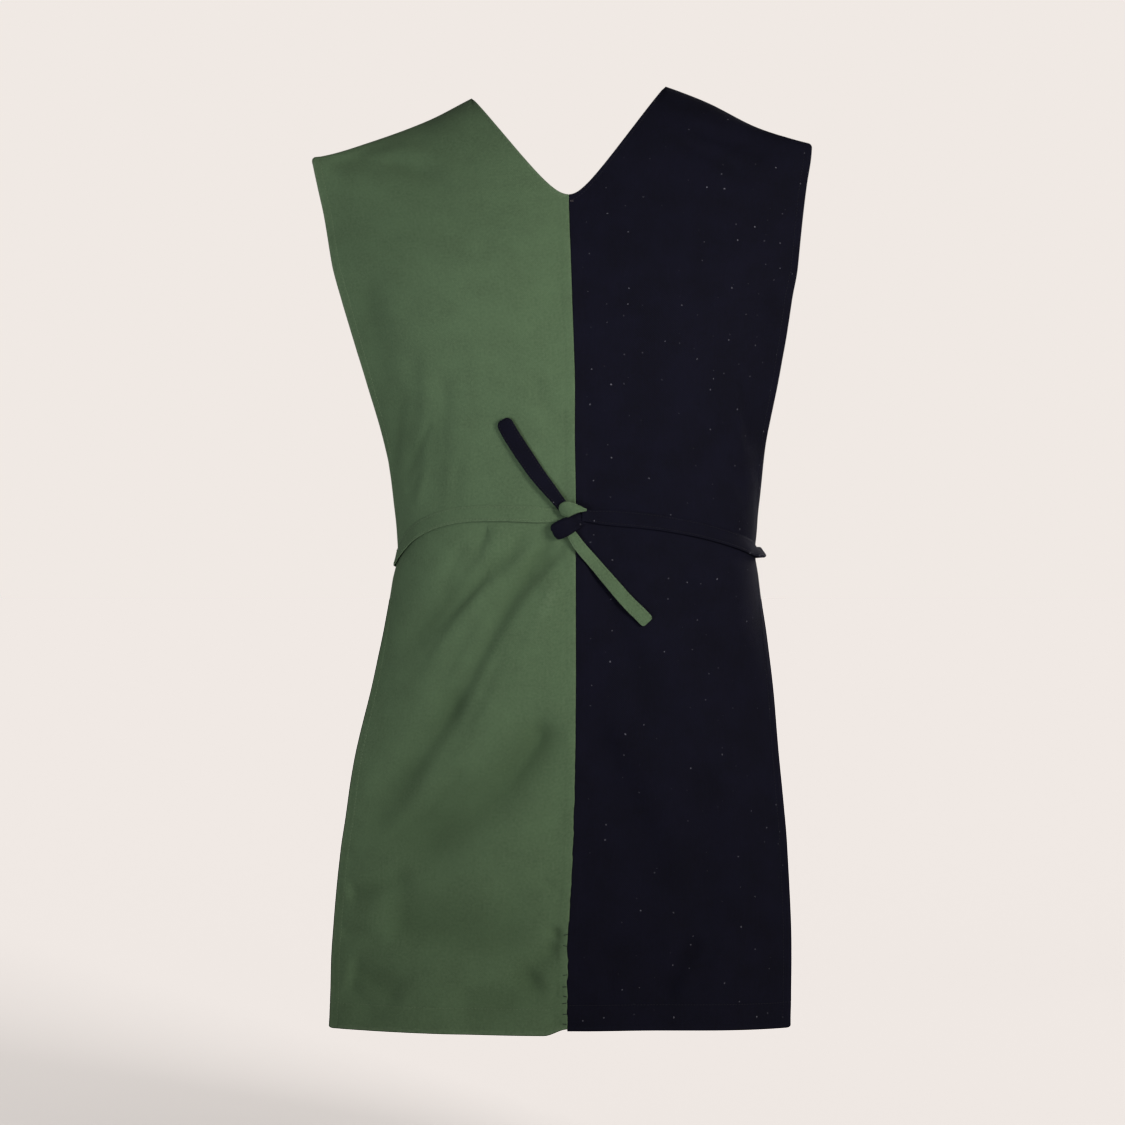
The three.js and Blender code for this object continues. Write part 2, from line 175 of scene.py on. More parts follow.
shoulders = {
    "right": table("out z", [
        [-55, 23], [0, 32], [55, 23], [101, 2], [144, -20], [211, -45], [260, -59], [276, -60],
    ]),
    "left": table("out z", [
        [-55, 29], [0, 32], [55, 29], [104, 14], [148, -3], [198, -28], [238, -41], [262, -47],
    ]),
}
necks = {
    "right": {"half": 102, "slope": 1.34, "round": 22},
    "left": {"half": 103, "slope": 1.44, "round": 18},
}
hems = {
    "right": {"z": -971, "cornerRise": 7, "cornerWidth": 24, "sideDrop": 0},
    "left": {"z": -966, "cornerRise": 0, "cornerWidth": 24, "sideDrop": 4.5},
}
tieLine = table("share right left", [
    [0, -440, -439],
    [0.1, -439, -441],
    [0.27, -437, -445],
    [0.44, -438, -452],
    [0.58, -444, -459],
    [0.74, -457, -467],
    [0.88, -473, -473],
    [1, -484, -477],
])

# soft troughs (depth over 0) and ridges (under 0) from (x0, z0) past (x1, z1) to (x2, z2).
# lean makes one bank steeper: over 0 the bank on the left, looking along the fold
foldColumns = "x0 z0 x1 z1 x2 z2 width depth lean"
mainFolds = {
    "frontright": table(foldColumns, [
        [-216, -170, -206, -280, -158, -428, 22, 4, 0.2],
        [-159, -262, -157, -340, -168, -412, 9, 1.5, 0.2],
        [-128, -282, -131, -370, -140, -448, 10, 1.9, 0.2],
        [6, -464, -78, -522, -136, -690, 9, 5.2, 0.3],
        [-110, -606, -144, -690, -230, -794, 13, 5.4, 0.2],
        [-22, -452, -100, -508, -186, -600, 10, 4.2, 0.35],
        [-78, -440, -104, -500, -180, -584, 8, 2.2, 0.3],
        [-14, -638, -62, -724, -204, -806, 21, 9.5, 0],
        [-232, -832, -206, -828, -156, -804, 9, 4.2, 0],
        [-204, -852, -112, -872, -22, -872, 24, 6.5, -0.2],
        [-6, -858, -22, -888, -58, -926, 11, 3.8, 0],
        [-20, -914, -62, -944, -134, -956, 18, 4.6, 0],
        [-230, -910, -204, -916, -166, -940, 13, 4.6, 0],
    ]),
    "frontleft": table(foldColumns, [
        [216, -180, 214, -260, 184, -424, 18, 4.5, -0.2],
        [168, -290, 178, -345, 190, -392, 8, -2, 0],
        [16, -470, 66, -560, 84, -660, 11, 3.5, 0],
        [104, -480, 160, -560, 186, -650, 13, 4, 0],
        [20, -636, 74, -740, 112, -860, 18, 4.5, 0.3],
        [134, -680, 158, -790, 150, -890, 20, 4, 0.2],
        [138, -872, 118, -906, 92, -944, 10, 4.5, 0.3],
        [20, -880, 60, -900, 110, -890, 16, 3, -0.2],
    ]),
    "backright": table(foldColumns, [
        [-216, -170, -200, -270, -150, -428, 20, 5, -0.2],
        [-60, -320, -66, -390, -84, -446, 12, 4, -0.2],
        [-66, -478, -104, -570, -122, -690, 13, 6, 0.2],
        [-20, -490, -34, -620, -62, -776, 15, 4.5, -0.2],
        [-146, -488, -180, -590, -198, -712, 13, 5, 0.2],
        [-84, -726, -130, -830, -154, -940, 18, 4.5, 0.2],
    ]),
    "backleft": table(foldColumns, [
        [212, -170, 204, -280, 168, -428, 20, 5, 0.2],
        [70, -310, 82, -390, 98, -446, 12, 4, 0.2],
        [56, -478, 88, -590, 98, -712, 13, 6, -0.2],
        [22, -508, 40, -660, 54, -814, 15, 4, 0.2],
        [146, -488, 184, -600, 192, -732, 13, 5, -0.2],
        [114, -716, 140, -840, 180, -940, 18, 4.5, -0.2],
    ]),
}

# finer creases, which only the cloth itself has
fineCreases = {
    "frontright": table(foldColumns, [
        [-262, -64, -200, -62, -120, -84, 9, 2.6, 0.3],
        [-236, -58, -180, -48, -130, -22, 7, 1.6, 0],
        [-196, -62, -160, -76, -112, -104, 6, 1.6, 0.2],
        [-168, -42, -130, -52, -88, -80, 6, 1.2, 0],
        [-36, -292, -26, -330, -6, -362, 8, 1.3, 0],
        [-174, -432, -150, -380, -130, -328, 6, 1.2, 0],
        [-186, -392, -182, -350, -172, -308, 5, 1.3, 0],
        [-140, -336, -158, -372, -176, -412, 4, 1.4, 0.2],
        [-158, -432, -150, -400, -147, -362, 4, -0.9, 0],
        [-112, -380, -116, -410, -118, -446, 5, 1, 0],
        [-24, -456, -36, -482, -48, -510, 4, 1.4, 0.2],
        [-44, -452, -62, -478, -74, -508, 4, 1.2, 0.2],
        [-28, -470, -52, -498, -74, -530, 4, 1.5, 0.2],
        [-18, -456, -27, -474, -30, -494, 4, 1.4, 0],
        [-82, -448, -90, -470, -94, -492, 4, 1.1, 0.2],
        [-12, -456, -46, -504, -92, -566, 6, 2.2, 0.3],
        [-40, -474, -92, -528, -146, -640, 6, 1.8, 0.3],
        [-56, -470, -118, -524, -166, -618, 5, 1.5, 0.3],
        [-18, -500, -46, -556, -76, -626, 7, 1.4, 0.2],
        [0, -494, -70, -580, -96, -668, 12, -2, 0],
        [-60, -560, -88, -640, -150, -726, 6, 1.4, 0.2],
        [-30, -640, -66, -700, -140, -770, 10, -2.2, 0],
        [-100, -690, -140, -740, -204, -790, 7, 1.6, 0.2],
        [-104, -462, -124, -494, -138, -532, 5, 1.2, 0],
        [-22, -652, -40, -690, -66, -716, 6, 1.4, 0.2],
        [-148, -684, -176, -712, -202, -730, 7, 1.1, 0],
        [-30, -812, -14, -820, 0, -830, 4, 1.6, 0],
        [-238, -872, -214, -868, -190, -876, 6, 1.8, 0.2],
        [-230, -800, -210, -796, -184, -798, 6, 1.1, 0],
        [-20, -864, -8, -868, 2, -868, 3.5, 1.6, 0],
        [-64, -914, -30, -920, 2, -913, 7, 1.4, 0],
        [-10, -878, -26, -894, -50, -914, 7, 1.8, 0],
        [-18, -929, -8, -930, 2, -930, 3.2, 1.4, 0],
        [-20, -956, -8, -960, 2, -959, 3.5, 1.7, 0],
        [-232, -922, -214, -940, -196, -968, 8, 2, 0.2],
        [-116, -930, -80, -938, -46, -930, 9, 1.3, 0],
    ]),
    "frontleft": table(foldColumns, [
        [124, -34, 168, -44, 220, -66, 8, 2, -0.2],
        [112, -50, 150, -62, 196, -92, 6, 1.3, 0],
        [180, -292, 186, -330, 193, -374, 4, 1.3, 0],
        [146, -322, 166, -380, 188, -430, 5, 1.4, -0.2],
        [38, -452, 52, -480, 64, -514, 4, 1.3, 0],
        [18, -462, 28, -492, 33, -530, 4, 1.3, 0],
        [82, -460, 100, -490, 110, -530, 5, 1.1, 0],
        [128, -472, 150, -500, 164, -540, 5, 1.2, 0],
        [126, -884, 110, -908, 100, -940, 5, 1.8, 0.2],
        [158, -872, 140, -900, 126, -934, 7, 1.8, 0.2],
        [46, -900, 40, -922, 42, -944, 5, 1.4, 0],
        [-2, -867, 14, -872, 34, -870, 4, 1.2, 0],
        [-2, -904, 12, -909, 30, -908, 4, 1.4, 0],
        [-2, -939, 12, -936, 30, -940, 4, 1.5, 0],
        [216, -856, 190, -872, 170, -896, 8, 1.6, 0],
        [4, -292, 24, -340, 36, -380, 8, 1.2, 0],
    ]),
    "backright": table(foldColumns, [
        [-206, -60, -168, -70, -122, -76, 7, 1.8, 0],
        [-148, -352, -160, -400, -174, -448, 5, 1.5, 0],
        [-110, -394, -120, -430, -132, -468, 5, 1.4, 0],
        [-184, -466, -156, -500, -128, -546, 6, 2.4, 0.2],
        [-186, -476, -150, -486, -112, -500, 6, 2, 0],
        [-184, -470, -152, -452, -118, -428, 6, 2.2, 0],
        [-172, -440, -156, -412, -150, -366, 5, 1.6, 0],
        [-38, -462, -50, -500, -53, -538, 5, 1.3, 0],
        [-28, -901, -14, -906, 0, -904, 4, 1.4, 0],
        [-32, -860, -16, -862, 0, -867, 4, 1.3, 0],
        [-179, -892, -186, -930, -181, -974, 9, 1.7, 0.2],
    ]),
    "backleft": table(foldColumns, [
        [122, -38, 160, -54, 210, -68, 7, 1.8, 0],
        [158, -342, 172, -390, 188, -438, 5, 1.5, 0],
        [118, -392, 130, -430, 144, -464, 5, 1.4, 0],
        [196, -468, 170, -502, 136, -544, 6, 2.4, -0.2],
        [198, -476, 160, -484, 122, -496, 6, 1.9, 0],
        [196, -466, 166, -450, 128, -436, 6, 2.1, 0],
        [186, -438, 172, -410, 158, -360, 5, 1.7, 0],
        [42, -458, 56, -496, 61, -538, 5, 1.3, 0],
        [0, -889, 14, -894, 32, -892, 4, 1.4, 0],
        [0, -931, 12, -928, 30, -933, 4, 1.3, 0],
        [149, -892, 156, -934, 149, -972, 9, 1.7, -0.2],
    ]),
}

sides = {"right": {"name": "right", "sign": -1}, "left": {"name": "left", "sign": 1}}
faces = {
    "front": {"name": "front", "sign": -1, "inset": 0},
    "back": {"name": "back", "sign": 1, "inset": bodyForm["backInset"]},
}


def level(column, z):
    return readTable(levels, "z", column, z)


def shoulderHeight(side, x):
    return readTable(shoulders[side["name"]], "out", "z", side["sign"] * x)


def topHeight(side, x):
    neck = necks[side["name"]]
    out = side["sign"] * x
    fromSeam = np.maximum(out - side["sign"] * level("seam", bodyForm["neckBottom"]), 0)
    neckLine = bodyForm["neckBottom"] + neck["slope"] * (np.hypot(fromSeam, neck["round"]) - neck["round"])
    return np.where(out >= neck["half"], shoulderHeight(side, x), neckLine)


def hemHeight(side, x):
    hem = hems[side["name"]]
    fromSeam = side["sign"] * (x - level("seam", hem["z"]))
    rise = hem["cornerRise"] * (1 - smoothStep(0, hem["cornerWidth"], fromSeam))
    drop = hem["sideDrop"] * smoothStep(bodyForm["hemDropStart"], bodyForm["hemDropEnd"], fromSeam)
    return hem["z"] + rise - drop


def tieHeight(side, share):
    return readTable(tieLine, "share", side["name"], np.clip(share, 0, 1))


def reach(face, side, z):
    inset = face["inset"] * smoothStep(bodyForm["insetStart"], bodyForm["insetEnd"], z)
    return level(side["name"], z) - side["sign"] * level("seam", z) - inset


def bodyPoint(face, side, share, z):
    # the smooth body of the cloth: share 0 is the seam and 1 the side edge
    wrap = np.radians(level("wrap", z))
    turn = share * wrap
    out = reach(face, side, z) * np.sin(turn) / np.sin(wrap)
    x = level("seam", z) + side["sign"] * (out + bodyForm["seamHalf"])
    edgeDepth = level(face["name"] + "Edge", z)
    roundness = (np.cos(turn) - np.cos(wrap)) / (1 - np.cos(wrap))
    depth = edgeDepth + (level(face["name"], z) - edgeDepth) * roundness
    drop = np.clip((shoulderHeight(side, x) - z) / bodyForm["easeDrop"], 0, 1)
    ease = (2 * drop - drop * drop) ** bodyForm["easePower"]
    y = face["sign"] * (depth * ease + bodyForm["seamHalf"])
    return np.stack([x, y, z + 0 * x], axis=-1)


def bodyNormal(face, side, share, z):
    stepShare, stepHeight = 0.004, 0.5
    across = bodyPoint(face, side, share + stepShare, z) - bodyPoint(face, side, share - stepShare, z)
    down = bodyPoint(face, side, share, z + stepHeight) - bodyPoint(face, side, share, z - stepHeight)
    normal = unit(np.cross(across, down))
    return normal * np.where(normal[..., 1:2] * face["sign"] < 0, -1, 1)


def shareAt(face, side, x, z):
    wrap = np.radians(level("wrap", z))
    out = side["sign"] * (x - level("seam", z)) - bodyForm["seamHalf"]
    return np.arcsin(np.clip(out / reach(face, side, z), 0, 1) * np.sin(wrap)) / wrap


foldShape = {
    "steps": 17,  # points along a fold's path
    "widening": 0.7,
    "flattening": 0.3,
    "fadeIn": 0.18,  # shares of its length
    "fadeOut": 0.76,
    "gain": 1.3,
}


def creaseDepth(rows, x, z):
    # each fold fades in, runs down and fades out, and grows wider and shallower on its way
    total = np.zeros_like(x)
    f = foldShape
    steps = np.linspace(0, 1, f["steps"])
    rest = 1 - steps
    bow = lambda start, middle, end: rest ** 2 * start + 2 * steps * rest * middle + steps ** 2 * end
    for x0, z0, x1, z1, x2, z2, width, depth, lean in zip(*rows.values()):
        pathX, pathZ = bow(x0, x1, x2), bow(z0, z1, z2)
        nearest = np.full_like(x, np.inf)
        along = np.zeros_like(x)
        bank = np.zeros_like(x)
        for k in range(len(steps) - 1):
            runX, runZ = pathX[k + 1] - pathX[k], pathZ[k + 1] - pathZ[k]
            fromX, fromZ = x - pathX[k], z - pathZ[k]
            t = np.clip((fromX * runX + fromZ * runZ) / (runX ** 2 + runZ ** 2), 0, 1)
            away = np.hypot(fromX - t * runX, fromZ - t * runZ)
            closer = away < nearest
            nearest = np.where(closer, away, nearest)
            along = np.where(closer, (k + t) / (len(steps) - 1), along)
            bank = np.where(closer, np.sign(runX * fromZ - runZ * fromX), bank)
        spread = width * (1 + f["widening"] * along) * (1 - lean * bank)
        fade = smoothStep(0, f["fadeIn"], along) * (1 - f["flattening"] * along)
        fade *= 1 - smoothStep(f["fadeOut"], 1, along)
        total += depth * fade * bump(nearest, spread)
    return total * f["gain"]


clothDetail = {
    "thickness": 0.6,  # one layer of twill
    "outerFace": 0.8,  # the solids' outer face, off their middle
    "foldRadius": 0.4,  # of a pressed edge
    "halfCut": 240,  # width of a half, for the cloth's own coordinates
    "cornerRound": 4.5,
    "cornerReach": 7,
    "hemCorner": 0.5,  # the hem's corners turn in this share of the shoulder's
    "seamAllowance": 8,
    "sideHem": 10,
    "bottomHem": 26,
    "neckHem": 6,
    "seamStep": 0.8,  # half the width over which the seam allowance ends
    "hemStep": 1.4,
    "layerStep": 0.3,  # single cloth lies this much lower than a hem
    "stitchDip": 0.28,
    "stitchDipWidth": 0.9,
    "settle": 16,  # below an edge, where folds have their full depth
    "neckSettle": 6,  # at the neck they start this far above it
    "neckCorner": 2,
    # bumps in the cloth: how high, how many millimetres each is long, and how far from the edge they reach
    "waves": {"height": 0.8, "cell": 74, "fine": 0.45, "fineCell": 31, "fineSeed": 1},
    "flutter": {"height": 1.6, "cell": 88, "stretch": 0.3, "reach": 45},
    "seamPucker": {"height": 0.55, "cell": 10.5, "fine": 0.6, "fineCell": 5.5, "fineSeed": 6, "stretch": 0.4,
                   "seed": 23, "offSeam": 3, "reach": 11},
    "seamGrowth": {"upper": 0.55, "lower": 0.45, "start": -500, "end": -950},
    "seamWander": {"height": 0.8, "cell": 5.2, "seed": 61, "start": -560, "end": -880, "reach": 9},
    "hemPucker": {"height": 0.32, "cell": 8, "stretch": 0.3, "reach": 9},
    "sidePucker": {"height": 0.32, "cell": 9, "stretch": 0.3, "reach": 6},
    # painted shade, a darker colour where the folds are deep, and where it has worn, at edges and on ridges
    "creaseShadeStart": 0.6,
    "creaseShadeEnd": 11,
    "creaseShadeOffSeam": 12,
    "wearReach": 3.2,
    "seamWearOff": 3,
    "ridgeWear": 0.5,
    "ridgeStart": 0.6,
    "ridgeEnd": 2.6,
}
panelSeeds = {"frontright": 3, "frontleft": 5, "backright": 7, "backleft": 11}


def foldDepth(face, side, share, z):
    panel = face["name"] + side["name"]
    x = bodyPoint(face, side, share, z)[..., 0]
    return creaseDepth(mainFolds[panel], x, z) + creaseDepth(fineCreases[panel], x, z)


def bumps(detail, across, along, seed):
    # soft bumps, with finer ones on top where the detail has them
    height = softNoise(across, along, detail["cell"], seed)
    if "fine" in detail:
        fine = softNoise(across, along, detail["fineCell"], seed + detail["fineSeed"])
        height = height + detail["fine"] * fine
    return detail["height"] * height


def clothDepth(face, side, share, z, folds, fromTop, fromBottom):
    # how far folds, seams, hems and puckers move the outer face in
    d = clothDetail
    seed = panelSeeds[face["name"] + side["name"]]
    x = bodyPoint(face, side, share, z)[..., 0]
    fromSeam = np.maximum(share, 0) * d["halfCut"]
    fromSide = (1 - np.minimum(share, 1)) * d["halfCut"]
    onShoulder = side["sign"] * x > necks[side["name"]]["half"] - d["neckCorner"]
    settled = smoothStep(np.where(onShoulder, 0, -d["neckSettle"]), d["settle"], fromTop)
    free = smoothStep(0, bodyForm["seamFlat"], fromSeam)
    flutter = bumps(d["flutter"], fromSeam * d["flutter"]["stretch"], z, seed + 2)
    flutter = flutter * bump(fromSide, d["flutter"]["reach"])
    depth = free * (folds + bumps(d["waves"], fromSeam, z, seed) + flutter)
    seam, growth = d["seamPucker"], d["seamGrowth"]
    seamWave = bumps(seam, fromSeam * seam["stretch"], z, seam["seed"])
    grown = growth["upper"] + growth["lower"] * smoothStep(growth["start"], growth["end"], z)
    depth += seamWave * bump(fromSeam - seam["offSeam"], seam["reach"]) * grown
    hemWave = bumps(d["hemPucker"], fromSeam, fromBottom * d["hemPucker"]["stretch"], seed + 4)
    depth += hemWave * bump(fromBottom - d["bottomHem"], d["hemPucker"]["reach"])
    sideWave = bumps(d["sidePucker"], fromSide * d["sidePucker"]["stretch"], z, seed + 5)
    depth += sideWave * bump(fromSide - d["sideHem"], d["sidePucker"]["reach"])
    dent = bodyForm["tieDent"] * bump(z - tieHeight(side, share), bodyForm["tieWidth"])
    depth = depth * settled + dent
    hemEdges = ((fromSide, d["sideHem"]), (fromBottom, d["bottomHem"]), (fromTop, d["neckHem"]))
    single = smoothStep(d["seamAllowance"] - d["seamStep"], d["seamAllowance"] + d["seamStep"], fromSeam)
    for distance, hem in hemEdges:
        single = single * smoothStep(hem, hem + d["hemStep"], distance)
    depth += d["layerStep"] * single
    for distance, hem in hemEdges:
        depth += d["stitchDip"] * bump(distance - hem, d["stitchDipWidth"])
    return depth


def columnLengths(face, side, share):
    # heights down each column and how far along the cloth each one is
    rounds, samples = 30, 700
    top = np.full_like(share, float(bodyForm["neckBottom"]))
    for _ in range(rounds):
        top = topHeight(side, bodyPoint(face, side, share, top)[..., 0])
    bottom = np.full_like(share, float(hems[side["name"]]["z"]))
    bottom = hemHeight(side, bodyPoint(face, side, share, bottom)[..., 0])
    t = np.linspace(0, 1, samples)[:, None] ** 2
    z = top[None, :] + (bottom - top)[None, :] * t
    points = bodyPoint(face, side, share[None, :] + 0 * z, z)
    pieces = np.linalg.norm(np.diff(points, axis=0), axis=-1)
    lengths = np.concatenate([np.zeros((1, len(share))), np.cumsum(pieces, axis=0)])
    return z, lengths


def pressedEdge(under, over):
    # rows beside an edge, as (distance, depth): under the cloth, round its pressed edge, on its face
    r = clothDetail["foldRadius"]
    turned = [(distance, 2 * r) for distance in under] + [(0.3 * r, 1.7 * r), (0, r), (0.3 * r, 0.3 * r)]
    return {"rows": turned + [(distance, 0) for distance in over], "turned": len(turned)}


panelPlans = {
    "front": {"acrossStep": 3.0, "downStep": 3.4},
    "back": {"acrossStep": 4.0, "downStep": 4.4},
}
edgePlans = {
    "seam": pressedEdge([8, 5, 2.5, 1], [0.7, 1.5, 2.5, 4, 5.5, 7, 8, 9, 10.5]),
    "side": pressedEdge([10.5, 7.5, 4.5, 2.2, 0.9], [0.7, 1.5, 3, 5, 7, 8.5, 9.3, 10, 10.7, 11.6, 13]),
    "top": pressedEdge([8, 5, 2.5, 1], [0.7, 1.5, 2.7, 4, 5.2, 6, 6.8, 7.8, 9.5, 12]),
    "bottom": pressedEdge(
        [27, 21, 15, 9, 4, 1],
        [0.7, 1.5, 3, 6, 9.5, 13, 17, 21, 24, 25.2, 26, 26.8, 28, 30]),
}


def panelGrid(face, side):
    d = clothDetail
    plan = panelPlans[face["name"]]
    half = d["halfCut"]
    seamEdge, sideEdge, topEdge, bottomEdge = (edgePlans[name]["rows"] for name in edgePlans)
    first, last = seamEdge[-1][0], half - sideEdge[-1][0]
    middle = np.linspace(first, last, round((last - first) / plan["acrossStep"]) + 1)[1:-1]
    # one column ends at the corner of neck and shoulder
    neckX = np.array([side["sign"] * float(necks[side["name"]]["half"])])
    neckShare = shareAt(face, side, neckX, shoulderHeight(side, neckX))[0] * half
    middle[np.argmin(abs(middle - neckShare))] = neckShare
    columns = seamEdge + [(at, 0) for at in middle] + [(half - at, depth) for at, depth in sideEdge[::-1]]
    shares = np.array([at for at, _ in columns]) / half
    columnDepth = np.array([depth for _, depth in columns])
    heights, lengths = columnLengths(face, side, shares)
    total = lengths[-1]
    start, end = topEdge[-1][0], bottomEdge[-1][0]
    inner = np.linspace(0, 1, round((total.mean() - start - end) / plan["downStep"]) + 1)[1:-1]
    fromTop = [0 * total + at for at, _ in topEdge]
    fromTop += [start + (total - start - end) * t for t in inner]
    fromTop += [total - at for at, _ in bottomEdge[::-1]]
    fromTop = np.array(fromTop)
    fromBottom = total[None, :] - fromTop
    rowDepth = np.array([depth for _, depth in topEdge + [(0, 0)] * len(inner) + bottomEdge[::-1]])
    z = [np.interp(fromTop[:, c], lengths[:, c], heights[:, c]) for c in range(len(shares))]
    z = np.stack(z, axis=1)
    share = shares[None, :] + 0 * z
    across = share * half
    fromSide = (1 - share) * half
    folds = foldDepth(face, side, share, z)
    depth = clothDepth(face, side, share, z, folds, fromTop, fromBottom)
    normal = bodyNormal(face, side, share, z)
    offset = d["outerFace"] - d["thickness"] / 2 - depth - rowDepth[:, None] - columnDepth[None, :]
    points = bodyPoint(face, side, share, z) + normal * offset[..., None]
    w = d["seamWander"]
    wander = w["height"] * softNoise(0 * z, z, w["cell"], w["seed"]) * smoothStep(w["start"], w["end"], z)
    points[..., 0] += wander * bump(across, w["reach"])
    # the shoulder's and the hem's outer corners are rounded
    bend = d["cornerRound"] * roundedCorner(np.clip(1 - fromSide / d["cornerRound"], 0, 1))
    lift = d["hemCorner"] * bump(fromBottom, d["cornerReach"]) - bump(fromTop, d["cornerReach"])
    points[..., 2] += bend * lift
    fromEdge = np.minimum(np.minimum(across + d["seamWearOff"], fromSide), np.minimum(fromTop, fromBottom))
    wear = bump(np.maximum(fromEdge, 0), d["wearReach"])
    wear += d["ridgeWear"] * smoothStep(d["ridgeStart"], d["ridgeEnd"], -depth)
    # painted shade: darker where the folds are deep, fading out beside the seam
    creaseShadeMask = smoothStep(d["creaseShadeStart"], d["creaseShadeEnd"], folds) * smoothStep(0, d["creaseShadeOffSeam"], across)
    turned = {name: edge["turned"] for name, edge in edgePlans.items()}
    return {
        "points": points,
        "normals": normal,
        "across": across,
        "up": fromBottom,
        "wear": np.clip(wear, 0, 1),
        "creaseShadeMask": creaseShadeMask,
        "stitchColumn": len(shares) - 1 - sideEdge.index((d["sideHem"], 0)),
        "stitchTopRow": topEdge.index((d["neckHem"], 0)),
        "stitchBottomRow": len(z) - 1 - bottomEdge.index((d["bottomHem"], 0)),
        "faceRows": (turned["top"], len(z) - turned["bottom"]),
        "faceColumns": (turned["seam"], len(shares) - turned["side"]),
    }


def surfacePoint(face, side, share, z):
    # a point of the cloth's outer face and its normal, away from the hems
    far = np.full_like(z, 200.0)
    depth = clothDepth(face, side, share, z, foldDepth(face, side, share, z), far, far)
    normal = bodyNormal(face, side, share, z)
    point = bodyPoint(face, side, share, z) + normal * (clothDetail["outerFace"] - depth)[..., None]
    return point, normal


def makeObject(name, vertices, polygons, uvs=None, attributes=None):
    mesh = bpy.data.meshes.new(name)
    mesh.from_pydata([tuple(v) for v in np.asarray(vertices) * mm], [], [tuple(p) for p in polygons])
    if uvs is not None:
        layer = mesh.uv_layers.new(name="cloth")
        corner = np.array([loop.vertex_index for loop in mesh.loops])
        layer.data.foreach_set("uv", (np.asarray(uvs)[corner] * mm).ravel())
    for key, values in (attributes or {}).items():
        spots = mesh.attributes.new(key, "FLOAT", "POINT").data
        spots.foreach_set("value", np.asarray(values, float).ravel())
    mesh.polygons.foreach_set("use_smooth", [True] * len(mesh.polygons))
    mesh.update()
    thing = bpy.data.objects.new(name, mesh)
    bpy.context.scene.collection.objects.link(thing)
    return thing


def applied(thing):
    # what the modifiers make becomes the object's own mesh
    depsgraph = bpy.context.evaluated_depsgraph_get()
    mesh = bpy.data.meshes.new_from_object(thing.evaluated_get(depsgraph))
    old = thing.data
    thing.modifiers.clear()
    thing.data = mesh
    mesh.name = thing.name
    bpy.data.meshes.remove(old)
    return thing


def gridFaces(rows, columns, flip):
    r, c = np.meshgrid(np.arange(rows - 1), np.arange(columns - 1), indexing="ij")
    a = (r * columns + c).ravel()
    quads = np.stack([a, a + columns, a + columns + 1, a + 1], axis=1)
    return quads[:, ::-1] if flip else quads


def makePanel(face, side, material):
    grid = panelGrid(face, side)
    rows, columns = grid["across"].shape
    points = grid["points"].reshape(-1, 3)
    flip = face["sign"] * side["sign"] < 0
    uvs = np.stack([grid["across"].ravel(), grid["up"].ravel()], axis=1)
    name = face["name"] + side["name"].capitalize()
    # the wear, and the painted shade in the folds, go on the mesh for its material
    tones = {"edgeWear": grid["wear"], "creaseShadeMask": grid["creaseShadeMask"]}
    panel = makeObject(name, points, gridFaces(rows, columns, flip), uvs, tones)
    wall = panel.modifiers.new("wall", "SOLIDIFY")
    wall.thickness = clothDetail["thickness"] * mm
    wall.offset = 0
    applied(panel)
    panel.data.materials.append(material)
    return panel, grid


ribbonColumns = "x z rise width thick turn"
ribbons = {
    "tailBlack": table(ribbonColumns, [
        [-3, -433, 5.4, 12, 2.2, 0],
        [-12, -421, 5, 13, 2, 0],
        [-20, -411, 4.2, 14.6, 1.9, 5],
        [-31, -397, 3.6, 16.2, 1.8, 8],
        [-42, -381, 3.2, 17.2, 1.8, 5],
        [-52, -366, 3.1, 17.6, 1.8, 0],
        [-60, -353, 3.3, 17.6, 1.8, -4],
        [-66.5, -340.5, 3.6, 17.2, 1.8, -6],
    ]),
    "tailGreen": table(ribbonColumns, [
        [0, -453, 5.6, 8, 2.6, 0],
        [5, -461, 5, 10.5, 2.3, 0],
        [12, -471.5, 4.2, 12, 2, -4],
        [26, -488, 3.6, 12.8, 1.8, -8],
        [43, -508, 3.4, 13.8, 1.8, -5],
        [61, -529, 3.4, 14.6, 1.8, 0],
        [75, -543, 3.6, 14.8, 1.8, 4],
        [81.5, -550, 3.8, 14.6, 1.8, 5],
    ]),
    "knotBlack": table(ribbonColumns, [
        [21, -442, -0.2, 11, 0.9, 0],
        [16, -442.6, 0.8, 12.6, 1.4, 4],
        [10.5, -444.2, 3.4, 14.6, 2.8, 10],
        [5.6, -446.8, 7, 16.4, 4.6, 8],
        [0, -450, 9.3, 18.2, 6.4, 2],
        [-7, -453.8, 8.6, 18.8, 6.2, -5],
        [-14.6, -457.6, 5.6, 17, 4.6, -10],
    ]),
    "knotGreen": table(ribbonColumns, [
        [18.8, -433.2, 8.6, 2.2, 2, 0],
        [12, -432.3, 9.8, 7, 4, 5],
        [6, -431.8, 10.4, 12, 5.4, 3],
        [0, -432.2, 10.2, 16.4, 6, -2],
        [-4, -433.4, 9, 15.6, 5.6, -5],
        [-7.6, -434.6, 7.2, 11.5, 4.4, -8],
    ]),
}

